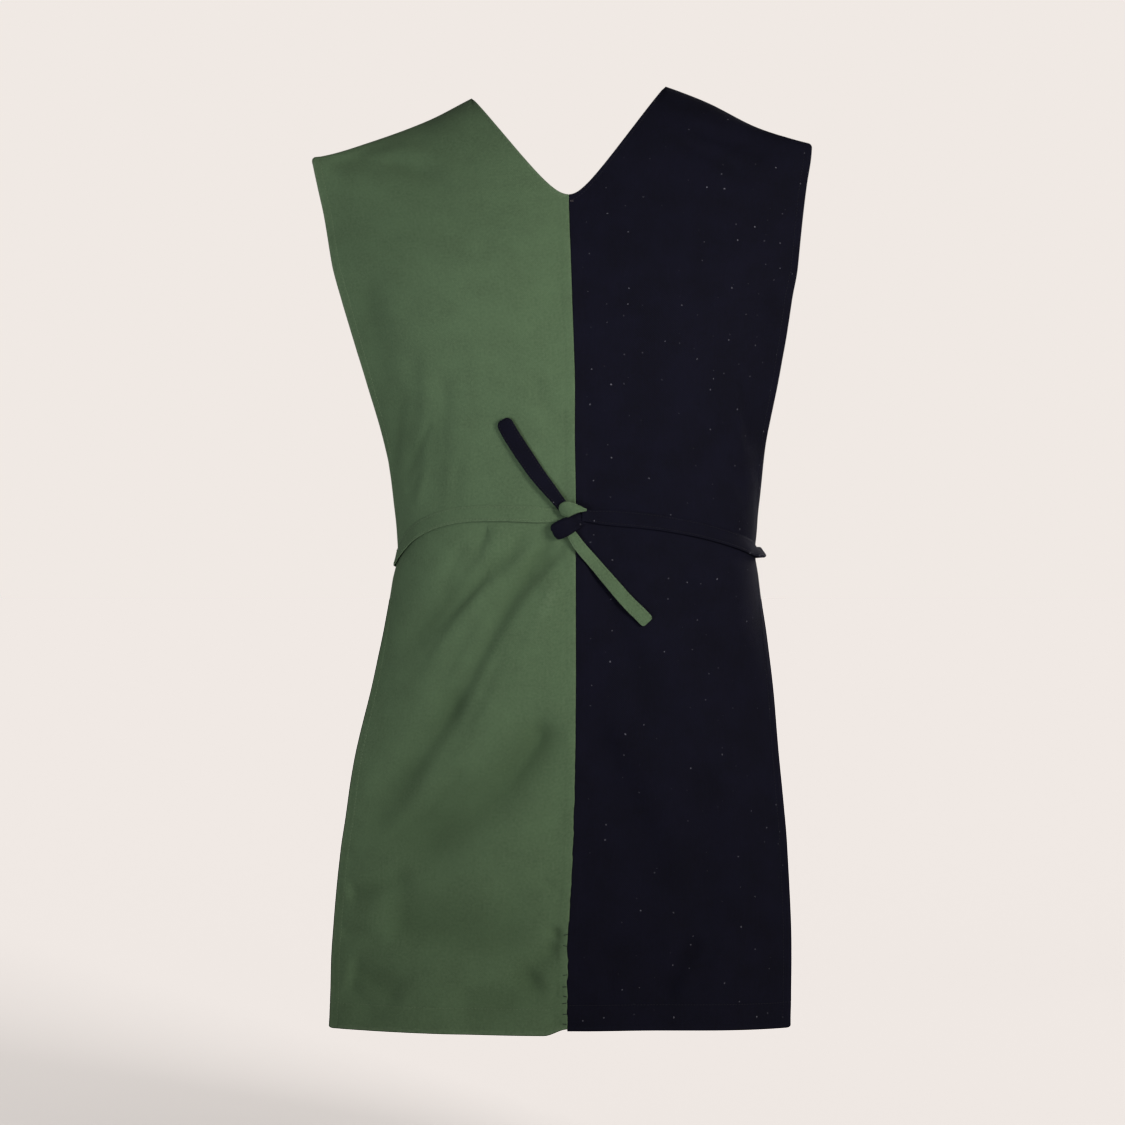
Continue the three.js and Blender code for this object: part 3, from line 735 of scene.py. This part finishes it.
tieDetail = {
    "width": 17,
    "thick": 1.9,
    "lift": 0.25,  # from the cloth to the tie's inner face
    "step": 2.2,
    "gripShare": 0.42,  # of its width, above and below its middle, where it lies on the cloth
    "lean": 11,  # degrees: the lower edge stands off the cloth, the upper one is pulled in
    "sideLean": {"right": 8, "left": 44},  # the same where the tie turns round the open side
    "leanStart": 0.86,  # share of the half where the lean begins to change
    "leanLift": 0.6,
    "edgeStitch": 2.2,
    "stitchSunk": 0.05,
    "slack": {"right": 0.4, "left": 7},  # how far it stands out round the open side
    "slackRound": 1.2,
    "turnRows": 13,
    "turnThick": {"right": 0.2, "left": 3.2},  # added where it turns on itself
    "turnNarrow": {"right": 0, "left": 0.3},  # share of its width lost there
    "turnReach": 8,  # in rows
    "start": {"right": 0.024, "left": 0.014},  # shares at which the bands come out of the knot
    "knotNarrow": 0.3,
    "knotReach": 16,
    "sewnOn": 20,
    "sewnRows": 9,
    "sewnLift": 0.3,
    "tailStep": 1.6,
    "knotStep": 0.9,
    "knotCorner": 3.2,
    "gathers": 0.34,
    "gatherReach": 45,
    "pleatStart": 9,
    "fewestSteps": 10,
    "smoothRows": {"band": 2, "ribbon": 4},  # neighbours on each side that a row is evened out with
    "endSteps": (1.6, 1.1, 0.7, 0.4, 0.15, 0),  # rows close together where an end is rounded
    "knotHidden": 4,  # rows of a band inside the knot, which get no stitches
}
tieEnds = {
    "Green": {"seed": 41, "tailCorner": 3.4, "pleats": 0.35},
    "Black": {"seed": 43, "tailCorner": 6.5, "pleats": 0.55},
}

stripDetail = {
    "around": 32,
    "edgeRound": 0.55,  # the lower these two, the squarer the section
    "faceRound": 0.5,
    "rumple": 0.18,
    "rumpleCell": 9,
    "pleatCount": 3.2,
    "pleatSway": 0.9,
    "pleatRun": 9,
    "pleatFace": 0.3,  # shares of a pleat that swell the strip and that bend it
    "pleatBend": 0.7,
    "stitchDip": 0.16,
    "stitchDipWidth": 0.9,
    "wear": 0.45,
    "wearReach": 1.6,
    "clothStart": 40,  # where a strip's own coordinates begin
}

# a folded strip's section: nearly flat faces with rounded edges, as (share of half width, share of thickness)
turns = np.linspace(0, 2 * math.pi, stripDetail["around"] + 1)[:-1]
sectionAcross = np.sign(np.cos(turns)) * abs(np.cos(turns)) ** stripDetail["edgeRound"]
sectionOut = 0.5 * np.sign(np.sin(turns)) * abs(np.sin(turns)) ** stripDetail["faceRound"]


def stripMesh(name, frames, pleats, seed):
    # a closed strip along its centres, pleated and pressed in at its stitches
    d = stripDetail
    centre, across, out = frames["centre"], frames["across"], frames["out"]
    halfWidth = frames["width"][:, None] / 2
    steps = np.linalg.norm(np.diff(centre, axis=0), axis=1)
    length = np.concatenate([[0], np.cumsum(steps)])[:, None]
    sideways = sectionAcross * halfWidth
    rumple = d["rumple"] * softNoise(sideways, length + 0 * sideways, d["rumpleCell"], seed)
    sway = d["pleatSway"] * np.sin(length / d["pleatRun"])
    ribs = pleats[:, None] * np.cos(d["pleatCount"] * math.pi * sectionAcross + sway)
    fromStitch = abs(sectionAcross) * halfWidth - (halfWidth - tieDetail["edgeStitch"])
    stitched = -d["stitchDip"] * bump(fromStitch, d["stitchDipWidth"])
    height = sectionOut * frames["thick"][:, None] + np.sign(sectionOut) * (stitched + d["pleatFace"] * ribs)
    height = height + rumple + d["pleatBend"] * ribs
    points = centre[:, None] + across[:, None] * sideways[..., None] + out[:, None] * height[..., None]
    rings, around = points.shape[:2]
    a = np.arange(rings - 1)[:, None] * around + np.arange(around)[None, :]
    b = np.arange(rings - 1)[:, None] * around + (np.arange(around)[None, :] + 1) % around
    polygons = [tuple(q) for q in np.stack([a, b, b + around, a + around], axis=-1).reshape(-1, 4)]
    polygons.append(tuple(range(around))[::-1])
    polygons.append(tuple(range((rings - 1) * around, rings * around)))
    uvs = np.stack([sideways + d["clothStart"], length + 0 * sideways], axis=-1).reshape(-1, 2)
    wear = d["wear"] * bump(abs(abs(sideways) - halfWidth), d["wearReach"])
    flat = points.reshape(-1, 3)
    triangles = [(q[0], q[i], q[i + 1]) for q in polygons for i in range(1, len(q) - 1)]
    volume = sum(np.dot(flat[i], np.cross(flat[j], flat[k])) for i, j, k in triangles)
    if volume < 0:
        polygons = [q[::-1] for q in polygons]
    return makeObject(name, flat, polygons, uvs, {"edgeWear": wear})


def roundedEnd(length, width, corner):
    # the last millimetres of a strip narrow in an arc
    inside = np.clip(1 - (length[-1] - length) / corner, 0, 1)
    return width - 2 * corner * roundedCorner(inside)


def squareTo(along, vectors):
    return unit(vectors - along * np.sum(vectors * along, axis=1, keepdims=True))


def leaned(out, across, degrees):
    lean = np.radians(degrees)[:, None]
    return out * np.cos(lean) + across * np.sin(lean), across * np.cos(lean) - out * np.sin(lean)


def ribbonFrames(rows, step):
    # centre line, directions and sizes through a table of rows, on the front's outer face
    run = np.concatenate([[0], np.cumsum(np.hypot(np.diff(rows["x"]), np.diff(rows["z"])))])
    rows = dict(rows, run=run)
    at = np.linspace(0, run[-1], max(int(run[-1] / step), tieDetail["fewestSteps"]) + 1)
    at = np.concatenate([at[:-1], run[-1] - np.array(tieDetail["endSteps"])])
    at = np.unique(np.round(at, 4))
    x, z, rise, width, thick, turn = (readTable(rows, "run", name, at) for name in ribbonColumns.split())
    points = []
    normals = []
    for px, pz in zip(x, z):
        side = sides["right"] if px < level("seam", pz) else sides["left"]
        share = shareAt(faces["front"], side, np.array([px]), np.array([pz]))
        point, normal = surfacePoint(faces["front"], side, share, np.array([pz]))
        points.append(point[0])
        normals.append(normal[0])
    evened = tieDetail["smoothRows"]["ribbon"]
    points, normals = smoothed(np.array(points), evened), unit(smoothed(np.array(normals), evened))
    points[:, 0], points[:, 2] = x, z
    centre = points + normals * rise[:, None]
    along = unit(np.gradient(centre, axis=0))
    out = squareTo(along, normals)
    out, across = leaned(out, np.cross(along, out), turn)
    return {"centre": centre, "across": across, "out": out, "width": width, "thick": thick, "at": at}


def bandFrames(side):
    # the tie from the knot over the front, round the open side and on to the back
    t = tieDetail
    name, half = side["name"], clothDetail["halfCut"]
    share = np.linspace(t["start"][name], 1, int(half / t["step"]))
    height = tieHeight(side, share)
    reachUp = t["width"] * t["gripShare"]
    middle, normal = surfacePoint(faces["front"], side, share, height)
    upper, _ = surfacePoint(faces["front"], side, share, height + reachUp)
    lower, _ = surfacePoint(faces["front"], side, share, height - reachUp)
    backShare = np.linspace(1, 1 - t["sewnOn"] / half, t["sewnRows"])
    backMiddle, backNormal = surfacePoint(faces["back"], side, backShare, tieHeight(side, backShare))
    lift = t["lift"] + t["thick"] / 2
    centre = middle + normal * lift
    backCentre = backMiddle + backNormal * (lift + t["sewnLift"])
    turnAt = np.linspace(0, 1, t["turnRows"])[1:-1][:, None]
    outward, upwards = np.array([side["sign"], 0, 0]), np.array([0, 0, 1.0])
    arch = t["slack"][name] * np.sin(math.pi * turnAt) ** t["slackRound"] * outward
    turn = centre[-1] * (1 - turnAt) + backCentre[0] * turnAt + arch
    evened = t["smoothRows"]["band"]
    path = smoothed(np.concatenate([centre, turn, backCentre]), evened)
    normals = smoothed(np.concatenate([normal, np.tile(outward, (len(turn), 1)), backNormal]), evened)
    across = np.concatenate([unit(upper - lower), np.tile(upwards, (len(turn) + len(backCentre), 1))])
    along = unit(np.gradient(path, axis=0))
    across = squareTo(along, across)
    out = np.cross(along, across)
    out *= np.sign(np.sum(out * normals, axis=1, keepdims=True))
    sideLean = t["sideLean"][name]
    onFront = t["lean"] + (sideLean - t["lean"]) * smoothStep(t["leanStart"], 1, share)
    degrees = np.concatenate([onFront, np.linspace(sideLean, 0, len(path) - len(share))])
    centre = path + out * (t["width"] / 2 * np.sin(np.radians(degrees))[:, None] * t["leanLift"])
    out, across = leaned(out, across, degrees)
    rows = np.arange(len(path))
    turned = bump(rows - len(share) - len(turn) / 2, t["turnReach"])
    width = t["width"] * (1 - t["knotNarrow"] * bump(rows * t["step"], t["knotReach"]))
    width *= 1 - t["turnNarrow"][name] * turned
    thick = t["thick"] + t["turnThick"][name] * turned
    return {"centre": centre, "across": across, "out": out, "width": width, "thick": thick}


def joined(name, things):
    vertices, polygons, uvs, wear = [], [], [], []
    start = 0
    for thing in things:
        mesh = thing.data
        layer = mesh.uv_layers["cloth"].data
        count = len(mesh.vertices)
        vertices += [tuple(v.co / mm) for v in mesh.vertices]
        polygons += [tuple(v + start for v in p.vertices) for p in mesh.polygons]
        spot = {loop.vertex_index: tuple(layer[i].uv / mm) for i, loop in enumerate(mesh.loops)}
        uvs += [spot[i] for i in range(count)]
        wear += [mesh.attributes["edgeWear"].data[i].value for i in range(count)]
        start += count
        bpy.data.objects.remove(thing)
    return makeObject(name, vertices, polygons, uvs, {"edgeWear": wear})


def makeTie(side, colour, material):
    t, ends = tieDetail, tieEnds[colour]
    band = bandFrames(side)
    tail = ribbonFrames(ribbons["tail" + colour], t["tailStep"])
    tail["width"] = roundedEnd(tail["at"], tail["width"], ends["tailCorner"])
    gathered = t["gathers"] * (1 - smoothStep(0, t["gatherReach"], tail["at"]))
    knot = ribbonFrames(ribbons["knot" + colour], t["knotStep"])
    knot["width"] = roundedEnd(knot["at"], knot["width"], t["knotCorner"])
    pleated = ends["pleats"] * smoothStep(0, t["pleatStart"], knot["at"])
    tie = joined("tie" + colour, [
        stripMesh("band", band, 0 * band["width"], ends["seed"]),
        stripMesh("tail", tail, gathered, ends["seed"] + 2),
        stripMesh("knot", knot, pleated, ends["seed"] + 4),
    ])
    tie.data.materials.append(material)
    seams = []
    for strip, keep in ((band, slice(t["knotHidden"], None)), (tail, slice(0, -len(t["endSteps"])))):
        reachOut = (strip["width"] / 2 - t["edgeStitch"])[:, None]
        face = strip["centre"] + strip["out"] * (strip["thick"] * 0.5 - t["stitchSunk"])[:, None]
        seams += [(face + strip["across"] * reachOut)[keep], (face - strip["across"] * reachOut)[keep]]
    steps = [np.linalg.norm(np.diff(strip["centre"], axis=0), axis=1) for strip in (band, tail, knot)]
    return tie, seams, sum(float(np.sum(run)) for run in steps)


stitchSize = {"pitch": 3.3, "length": 2.5, "thickness": 0.55}


def stitchTree():
    # a row of thread stitches along every line of the mesh it is given
    tree = bpy.data.node_groups.new("stitchRow", "GeometryNodeTree")
    add = tree.interface.new_socket
    add("Geometry", in_out="INPUT", socket_type="NodeSocketGeometry")
    for name in ("Pitch", "Length", "Thickness"):
        add(name, in_out="INPUT", socket_type="NodeSocketFloat")
    add("Thread", in_out="INPUT", socket_type="NodeSocketMaterial")
    add("Geometry", in_out="OUTPUT", socket_type="NodeSocketGeometry")
    given = addNode(tree, "NodeGroupInput").outputs
    curve = addNode(tree, "GeometryNodeMeshToCurve", {"Mesh": given["Geometry"]})
    points = addNode(tree, "GeometryNodeResampleCurve", {"Curve": curve.outputs[0], "Length": given["Pitch"]},
                     mode="LENGTH")
    stitch = addNode(tree, "GeometryNodeMeshUVSphere", {"Segments": 6, "Rings": 4, "Radius": 0.5})
    tangent = addNode(tree, "GeometryNodeInputTangent")
    turn = addNode(tree, "FunctionNodeAlignRotationToVector", {"Vector": tangent.outputs[0]}, axis="X")
    size = addNode(tree, "ShaderNodeCombineXYZ",
                   {"X": given["Length"], "Y": given["Thickness"], "Z": given["Thickness"]})
    rows = addNode(tree, "GeometryNodeInstanceOnPoints", {
        "Points": points.outputs[0], "Instance": stitch.outputs[0],
        "Rotation": turn.outputs[0], "Scale": size.outputs[0]})
    real = addNode(tree, "GeometryNodeRealizeInstances", {"Geometry": rows.outputs[0]})
    smooth = addNode(tree, "GeometryNodeSetShadeSmooth", {"Geometry": real.outputs[0]})
    coloured = addNode(tree, "GeometryNodeSetMaterial",
                       {"Geometry": smooth.outputs[0], "Material": given["Thread"]})
    addNode(tree, "NodeGroupOutput", {"Geometry": coloured.outputs[0]})
    return tree


def makeStitches(name, lines, tree, thread, sizes):
    vertices, edges = [], []
    for line in lines:
        start = len(vertices)
        vertices += [tuple(p) for p in np.asarray(line) * mm]
        edges += [(start + i, start + i + 1) for i in range(len(line) - 1)]
    mesh = bpy.data.meshes.new(name)
    mesh.from_pydata(vertices, edges, [])
    thing = bpy.data.objects.new(name, mesh)
    bpy.context.scene.collection.objects.link(thing)
    rows = thing.modifiers.new("stitches", "NODES")
    rows.node_group = tree
    values = {size.capitalize(): sizes[size] * mm for size in ("pitch", "length", "thickness")}
    values["Thread"] = thread
    for item in tree.interface.items_tree:
        if item.in_out == "INPUT" and item.name in values:
            rows[item.identifier] = values[item.name]
    return applied(thing)


# sewing that shows beside the two middle seams: x off the seam, height, slant
seamTicks = {
    "front": [
        (-1.4, -868, 0.5), (-1.8, -879, -0.4), (-1.1, -909, 0.3), (-2, -921, 0.1),
        (-1.3, -930.5, -0.5), (-1.9, -938, 0.4), (-1.2, -949, 0.2), (-1.7, -959, -0.3),
    ],
    "back": [
        (-1.5, -846, 0.4), (-1.2, -861, -0.3), (-1.9, -898, 0.2), (-1.3, -908.5, 0.5),
        (-1.8, -923, -0.2), (-1.1, -937, 0.3), (-1.7, -952, 0.1),
    ],
}
tickSize = {"pitch": 2, "length": 2.7, "thickness": 0.85}
# a small tack at the foot of the neck, in two stitches: x off the seam, height, slant
neckTack = [(2, -115.6, 0.2), (2, -116.4, -0.1)]
tackSize = {"pitch": 1.8, "length": 2.2, "thickness": 0.5}
threadLift = {"rows": 0.02, "ticks": 0.12}  # a stitch's middle above the cloth's face


def shortRow(face, side, x, z, length, slant):
    # two points on the cloth, near enough to make one thick stitch
    ends = []
    for px, pz in ((x, z), (x + length, z + slant)):
        share = shareAt(face, side, np.array([px]), np.array([pz]))
        point, normal = surfacePoint(face, side, share, np.array([pz]))
        ends.append(point[0] + normal[0] * threadLift["ticks"])
    return np.array(ends)


def panelStitches(grid, neckOut):
    # rows of stitches beside the side edge, above the hem and round the neck
    points = grid["points"] + grid["normals"] * (clothDetail["thickness"] / 2 + threadLift["rows"])
    column, topRow, bottomRow = grid["stitchColumn"], grid["stitchTopRow"], grid["stitchBottomRow"]
    lowRow, highRow = grid["faceRows"]
    lowColumn, highColumn = grid["faceColumns"]
    inNeck = abs(points[topRow, :, 0]) < neckOut - clothDetail["neckHem"]
    neck = [points[topRow, c] for c in range(lowColumn + 3, highColumn) if inNeck[c]]
    return [points[lowRow:highRow, column], points[bottomRow, lowColumn + 2:highColumn - 2], np.array(neck)]


def newMaterial(name):
    material = bpy.data.materials.new(name)
    material.use_nodes = True
    material.node_tree.nodes.clear()
    return material, material.node_tree


def lintPattern(tree, place, look):
    # small specks with ragged outlines, one in some of the cells
    ragged = addNode(tree, "ShaderNodeTexNoise", {"Vector": place, "Scale": 0.9, "Detail": 1.0})
    shifted = addNode(tree, "ShaderNodeVectorMath", {0: ragged.outputs["Color"], 1: (1.6, 1.6, 0), 2: place},
                      operation="MULTIPLY_ADD")
    cells = addNode(tree, "ShaderNodeVectorMath", {0: shifted.outputs[0], 1: (1 / look["lintEvery"],) * 3},
                    operation="MULTIPLY")
    specks = addNode(tree, "ShaderNodeTexVoronoi",
                     {"Vector": cells.outputs[0], "Scale": 1.0, "Randomness": 1.0}, voronoi_dimensions="2D")
    chance = addNode(tree, "ShaderNodeSeparateColor", {"Color": specks.outputs["Color"]})
    width = addNode(tree, "ShaderNodeMapRange", {
        "Value": chance.outputs[1], "To Min": look["lintSize"] * 0.3, "To Max": look["lintSize"]})
    inside = addNode(tree, "ShaderNodeMath", {0: width.outputs[0], 1: specks.outputs["Distance"]},
                     operation="SUBTRACT")
    near = addNode(tree, "ShaderNodeMapRange", {"Value": inside.outputs[0], "From Max": 0.02})
    some = addNode(tree, "ShaderNodeMapRange", {"Value": chance.outputs[0], "From Min": 0.6})
    speck = addNode(tree, "ShaderNodeMath", {0: near.outputs[0], 1: some.outputs[0]}, operation="MULTIPLY")
    return speck.outputs[0]


def clothMaterial(name, look):
    material, tree = newMaterial(name)
    spot = addNode(tree, "ShaderNodeUVMap", uv_map="cloth")
    inMm = addNode(tree, "ShaderNodeVectorMath", {0: spot.outputs[0], 1: (1 / mm, 1 / mm, 0)},
                   operation="MULTIPLY")
    place = inMm.outputs[0]

    def wave(directionX, directionY, period):
        turn = 2 * math.pi / period
        phase = addNode(tree, "ShaderNodeVectorMath",
                        {0: place, 1: (directionX * turn, directionY * turn, 0)}, operation="DOT_PRODUCT")
        return addNode(tree, "ShaderNodeMath", {0: phase.outputs["Value"]}, operation="SINE").outputs[0]

    def patches(size, detail, low, high, stretch=(1, 1, 1)):
        scaled = addNode(tree, "ShaderNodeVectorMath", {0: place, 1: tuple(s / size for s in stretch)},
                         operation="MULTIPLY")
        cloudy = addNode(tree, "ShaderNodeTexNoise",
                         {"Vector": scaled.outputs[0], "Scale": 1.0, "Detail": detail, "Roughness": 0.6})
        return addNode(tree, "ShaderNodeMapRange",
                       {"Value": cloudy.outputs[0], "From Min": low, "From Max": high}).outputs[0]

    diagonal = math.sqrt(0.5)
    twill = wave(diagonal, diagonal, look["twillLine"])
    yarn = wave(1, 0, look["yarn"])
    pick = wave(0, 1, look["yarn"])
    clouds = patches(look["cloudSize"], detail=3, low=0.36, high=0.64)
    grain = patches(look["grainSize"], detail=2, low=0.3, high=0.7)
    slub = patches(look["slubWidth"], detail=2, low=0.52, high=0.78, stretch=(1, look["slubStretch"], 1))
    twillShade = addNode(tree, "ShaderNodeMapRange", {"Value": twill, "From Min": -1.0}).outputs[0]
    # painted shade: the colour darkens where the folds are deep
    paintedCreaseShade = addNode(tree, "ShaderNodeAttribute", attribute_name="creaseShadeMask").outputs["Fac"]
    worn = addNode(tree, "ShaderNodeAttribute", attribute_name="edgeWear").outputs["Fac"]
    wornGrain = addNode(tree, "ShaderNodeMath", {0: worn, 1: grain}, operation="MULTIPLY").outputs[0]
    # each layer of colour: its tint, where it lies and how strongly
    layers = [
        ("middle", clouds, 1),
        ("light", grain, look["grain"]),
        ("deep", twillShade, look["twill"]),
        ("light", slub, look["slub"]),
        # painted shade in the folds, in the deep tint
        ("deep", paintedCreaseShade, look["paintedCreaseShade"]),
        ("faded", wornGrain, look["wear"]),
    ]
    if "lint" in look:
        layers.append(("lint", lintPattern(tree, place, look), look["lintShare"]))
    colour = toLinear(look["dark"])
    for tint, pattern, strength in layers:
        share = addNode(tree, "ShaderNodeMath", {0: pattern, 1: strength}, operation="MULTIPLY")
        mix = addNode(tree, "ShaderNodeMix", {0: share.outputs[0], 6: colour, 7: toLinear(look[tint])},
                      data_type="RGBA")
        colour = mix.outputs[2]
    yarns = addNode(tree, "ShaderNodeMath", {0: yarn, 1: pick}, operation="ADD")
    weave = addNode(tree, "ShaderNodeMath", {0: yarns.outputs[0], 1: look["yarnRelief"], 2: twill},
                    operation="MULTIPLY_ADD")
    nap = addNode(tree, "ShaderNodeMath", {0: grain, 1: look["napRelief"], 2: weave.outputs[0]},
                  operation="MULTIPLY_ADD")
    relief = addNode(tree, "ShaderNodeBump", {
        "Height": nap.outputs[0], "Strength": look["relief"], "Distance": look["reliefHeight"] * mm})
    rough = addNode(tree, "ShaderNodeMapRange", {
        "Value": grain, "To Min": look["roughness"] - look["roughSpread"],
        "To Max": look["roughness"] + look["roughSpread"]})
    shader = addNode(tree, "ShaderNodeBsdfPrincipled", {
        "Base Color": colour, "Roughness": rough.outputs[0], "Normal": relief.outputs[0], "IOR": look["ior"],
        "Specular IOR Level": look["gloss"], "Sheen Weight": look["sheen"], "Sheen Roughness": 0.45,
        "Sheen Tint": toLinear(look["nap"])})
    addNode(tree, "ShaderNodeOutputMaterial", {"Surface": shader.outputs[0]})
    return material


# cotton twill, piece dyed and lightly brushed: matt, a fine diagonal line, a soft bloom where it turns away.
# the diagonal is drawn at about twice its real spacing so that it still shows from a step away
twillLook = {
    "twillLine": 1.3, "yarn": 0.65, "twill": 0.3, "slub": 0.14, "slubWidth": 2.4, "slubStretch": 0.09,
    # creased is how strongly the painted shade darkens the folds
    "paintedCreaseShade": 0.5, "relief": 0.5, "reliefHeight": 0.12, "yarnRelief": 0.35, "napRelief": 1.6,
    "roughness": 0.86, "roughSpread": 0.06, "ior": 1.47,
}
# in each look the deep tint colours the twill's line and the painted shade in the folds
greenLook = {
    **twillLook,
    "dark": "#4b5f46", "middle": "#51674c", "light": "#657b5d", "deep": "#3f5239",
    "faded": "#7c8c73", "nap": "#b7c4ab",
    "cloudSize": 38, "grainSize": 2.6, "grain": 0.42, "wear": 0.3, "sheen": 0.08, "gloss": 0.12,
}
blackLook = {
    **twillLook,
    "dark": "#0d0d17", "middle": "#10101d", "light": "#181827", "deep": "#090912",
    "faded": "#252533", "nap": "#8389a0",
    "cloudSize": 46, "grainSize": 3.2, "grain": 0.26, "wear": 0.06, "sheen": 0.012, "gloss": 0.07,
    "lint": "#7c7c88", "lintEvery": 18, "lintSize": 0.055, "lintShare": 0.68,
}


def threadMaterial(name, hexColour, hexShade):
    # spun polyester sewing thread: a little glossier than the cloth, darker between its twists
    material, tree = newMaterial(name)
    place = addNode(tree, "ShaderNodeTexCoord")
    twist = addNode(tree, "ShaderNodeTexNoise",
                    {"Vector": place.outputs["Object"], "Scale": 900.0, "Detail": 1.0})
    mix = addNode(tree, "ShaderNodeMix", {0: twist.outputs[0], 6: toLinear(hexShade), 7: toLinear(hexColour)},
                  data_type="RGBA")
    shader = addNode(tree, "ShaderNodeBsdfPrincipled",
                     {"Base Color": mix.outputs[2], "Roughness": 0.6, "Specular IOR Level": 0.25})
    addNode(tree, "ShaderNodeOutputMaterial", {"Surface": shader.outputs[0]})
    return material


greenTwill = clothMaterial("greenCottonTwill", greenLook)
blackTwill = clothMaterial("blackCottonTwill", blackLook)
greenThread = threadMaterial("greenSewingThread", "#6c7f62", "#4c5c45")
blackThread = threadMaterial("blackSewingThread", "#12121c", "#0b0b14")
paleThread = threadMaterial("paleTackThread", "#5f5858", "#423d3e")
print("materials made")


view = {"frameWidth": 1170, "distance": 3600, "planeY": -60, "centreX": -5.7, "centreZ": -487.8, "sensor": 36}
cameraData = bpy.data.cameras.new("camera")
cameraData.sensor_width = view["sensor"]
cameraData.lens = view["sensor"] * view["distance"] / view["frameWidth"]
cameraData.clip_end = 100
camera = bpy.data.objects.new("camera", cameraData)
camera.location = (view["centreX"] * mm, (view["planeY"] - view["distance"]) * mm, view["centreZ"] * mm)
camera.rotation_euler = (math.pi / 2, 0, 0)
bpy.context.scene.collection.objects.link(camera)
bpy.context.scene.camera = camera
bpy.context.scene.view_settings.view_transform = "Standard"

lamps = {
    "key": {"place": (1.35, -1.6, -0.1), "aim": (0.05, 0, -0.28), "size": 0.7, "watts": 7.6, "spread": 85,
            "colour": "#fffaf4"},
    "fill": {"place": (-1.2, -1.9, -0.75), "aim": (-0.14, 0, -0.18), "size": 0.8, "watts": 1.9, "spread": 48,
             "colour": "#f6f8ff"},
    "rear": {"place": (1.6, 1.7, 0.2), "aim": (0, 0, -0.5), "size": 1.0, "watts": 13, "spread": 110,
             "colour": "#fdfbff"},
}
for name, lamp in lamps.items():
    light = bpy.data.lights.new(name, "AREA")
    light.size = lamp["size"]
    light.energy = lamp["watts"]
    light.spread = math.radians(lamp["spread"])
    light.color = toLinear(lamp["colour"])[:3]
    thing = bpy.data.objects.new(name, light)
    thing.location = lamp["place"]
    away = np.array(lamp["place"]) - np.array(lamp["aim"])
    flat = math.hypot(away[0], away[1])
    thing.rotation_euler = (math.atan2(flat, away[2]), 0, math.atan2(away[1], away[0]) + math.pi / 2)
    bpy.context.scene.collection.objects.link(thing)

# the backdrop is paler to look at than the light it gives, and darker overhead than round about
studio = {"pale": "#f0e9e4", "around": "#a9a6a4", "overhead": "#4e4c4a", "fade": 0.8}
world = bpy.data.worlds.new("studio")
world.use_nodes = True
tree = world.node_tree
tree.nodes.clear()
direction = addNode(tree, "ShaderNodeTexCoord")
height = addNode(tree, "ShaderNodeSeparateXYZ", {0: direction.outputs["Generated"]})
rise = addNode(tree, "ShaderNodeMapRange", {"Value": height.outputs["Z"], "From Max": studio["fade"]},
               interpolation_type="SMOOTHSTEP")
given = addNode(tree, "ShaderNodeMix",
                {0: rise.outputs[0], 6: toLinear(studio["around"]), 7: toLinear(studio["overhead"])},
                data_type="RGBA")
seen = addNode(tree, "ShaderNodeLightPath")
shown = addNode(tree, "ShaderNodeMix",
                {0: seen.outputs["Is Camera Ray"], 6: given.outputs[2], 7: toLinear(studio["pale"])},
                data_type="RGBA")
glow = addNode(tree, "ShaderNodeBackground", {"Color": shown.outputs[2]})
addNode(tree, "ShaderNodeOutputWorld", {"Surface": glow.outputs[0]})
bpy.context.scene.world = world

floorSize = {"half": 60, "z": -1.16}
floorPlan = ((-1, -1), (1, -1), (1, 1), (-1, 1))
floorMesh = bpy.data.meshes.new("floor")
floorMesh.from_pydata([(x * floorSize["half"], y * floorSize["half"], floorSize["z"]) for x, y in floorPlan],
                      [], [(0, 1, 2, 3)])
floor = bpy.data.objects.new("floor", floorMesh)
bpy.context.scene.collection.objects.link(floor)
floorPaint = bpy.data.materials.new("paleStudioPaint")
floorPaint.use_nodes = True
paintInputs = floorPaint.node_tree.nodes["Principled BSDF"].inputs
paintInputs["Base Color"].default_value = toLinear("#f6f2ee")
paintInputs["Roughness"].default_value = 0.9
floorMesh.materials.append(floorPaint)
floor.is_shadow_catcher = True
floor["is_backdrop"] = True
print("camera, light and floor made")


colours = {
    "right": {"colour": "Green", "cloth": greenTwill, "thread": greenThread, "slot": "green_twill",
              "nodes": "green"},
    "left": {"colour": "Black", "cloth": blackTwill, "thread": blackThread, "slot": "black_twill",
             "nodes": "black"},
}

rows = stitchTree()
for sideName, side in sides.items():
    finish = colours[sideName]
    lines = []
    for faceName, face in faces.items():
        panel, grid = makePanel(face, side, finish["cloth"])
        lines += panelStitches(grid, necks[sideName]["half"])
        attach(panel, "root")
        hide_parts(faceName + "_" + sideName)
        print(panel.name, "made:", len(panel.data.polygons), "faces")
    tie, seams, length = makeTie(side, finish["colour"], finish["cloth"])
    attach(tie, "root")
    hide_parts("tie_" + finish["nodes"], "knot_" + finish["nodes"], "tail_" + finish["nodes"])
    print(tie.name, "made:", round(length), "mm of strip")
    stitches = makeStitches("stitches" + finish["colour"], lines + seams, rows, finish["thread"], stitchSize)
    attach(stitches, "root")
    print(stitches.name, "made:", len(stitches.data.polygons), "faces")

ticks, tacks = [], []
for faceName, face in faces.items():
    for fromSeam, z, slant in seamTicks[faceName]:
        x = level("seam", z) + fromSeam - tickSize["pitch"]
        ticks.append(shortRow(face, sides["right"], x, z, tickSize["pitch"], slant))
for fromSeam, z, slant in neckTack:
    x = level("seam", z) + fromSeam
    tacks.append(shortRow(faces["front"], sides["left"], x, z, tackSize["pitch"], slant))
smallSewing = (("seamTicks", ticks, blackThread, tickSize), ("neckTack", tacks, paleThread, tackSize))
for name, lines, thread, sizes in smallSewing:
    stitches = makeStitches(name, lines, rows, thread, sizes)
    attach(stitches, "root")
    print(stitches.name, "made:", len(stitches.data.polygons), "faces")

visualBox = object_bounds()
boxes = {"cad": cadBox, "visual": visualBox}
{name: [list(map(float, corner)) for corner in box] for name, box in boxes.items()}
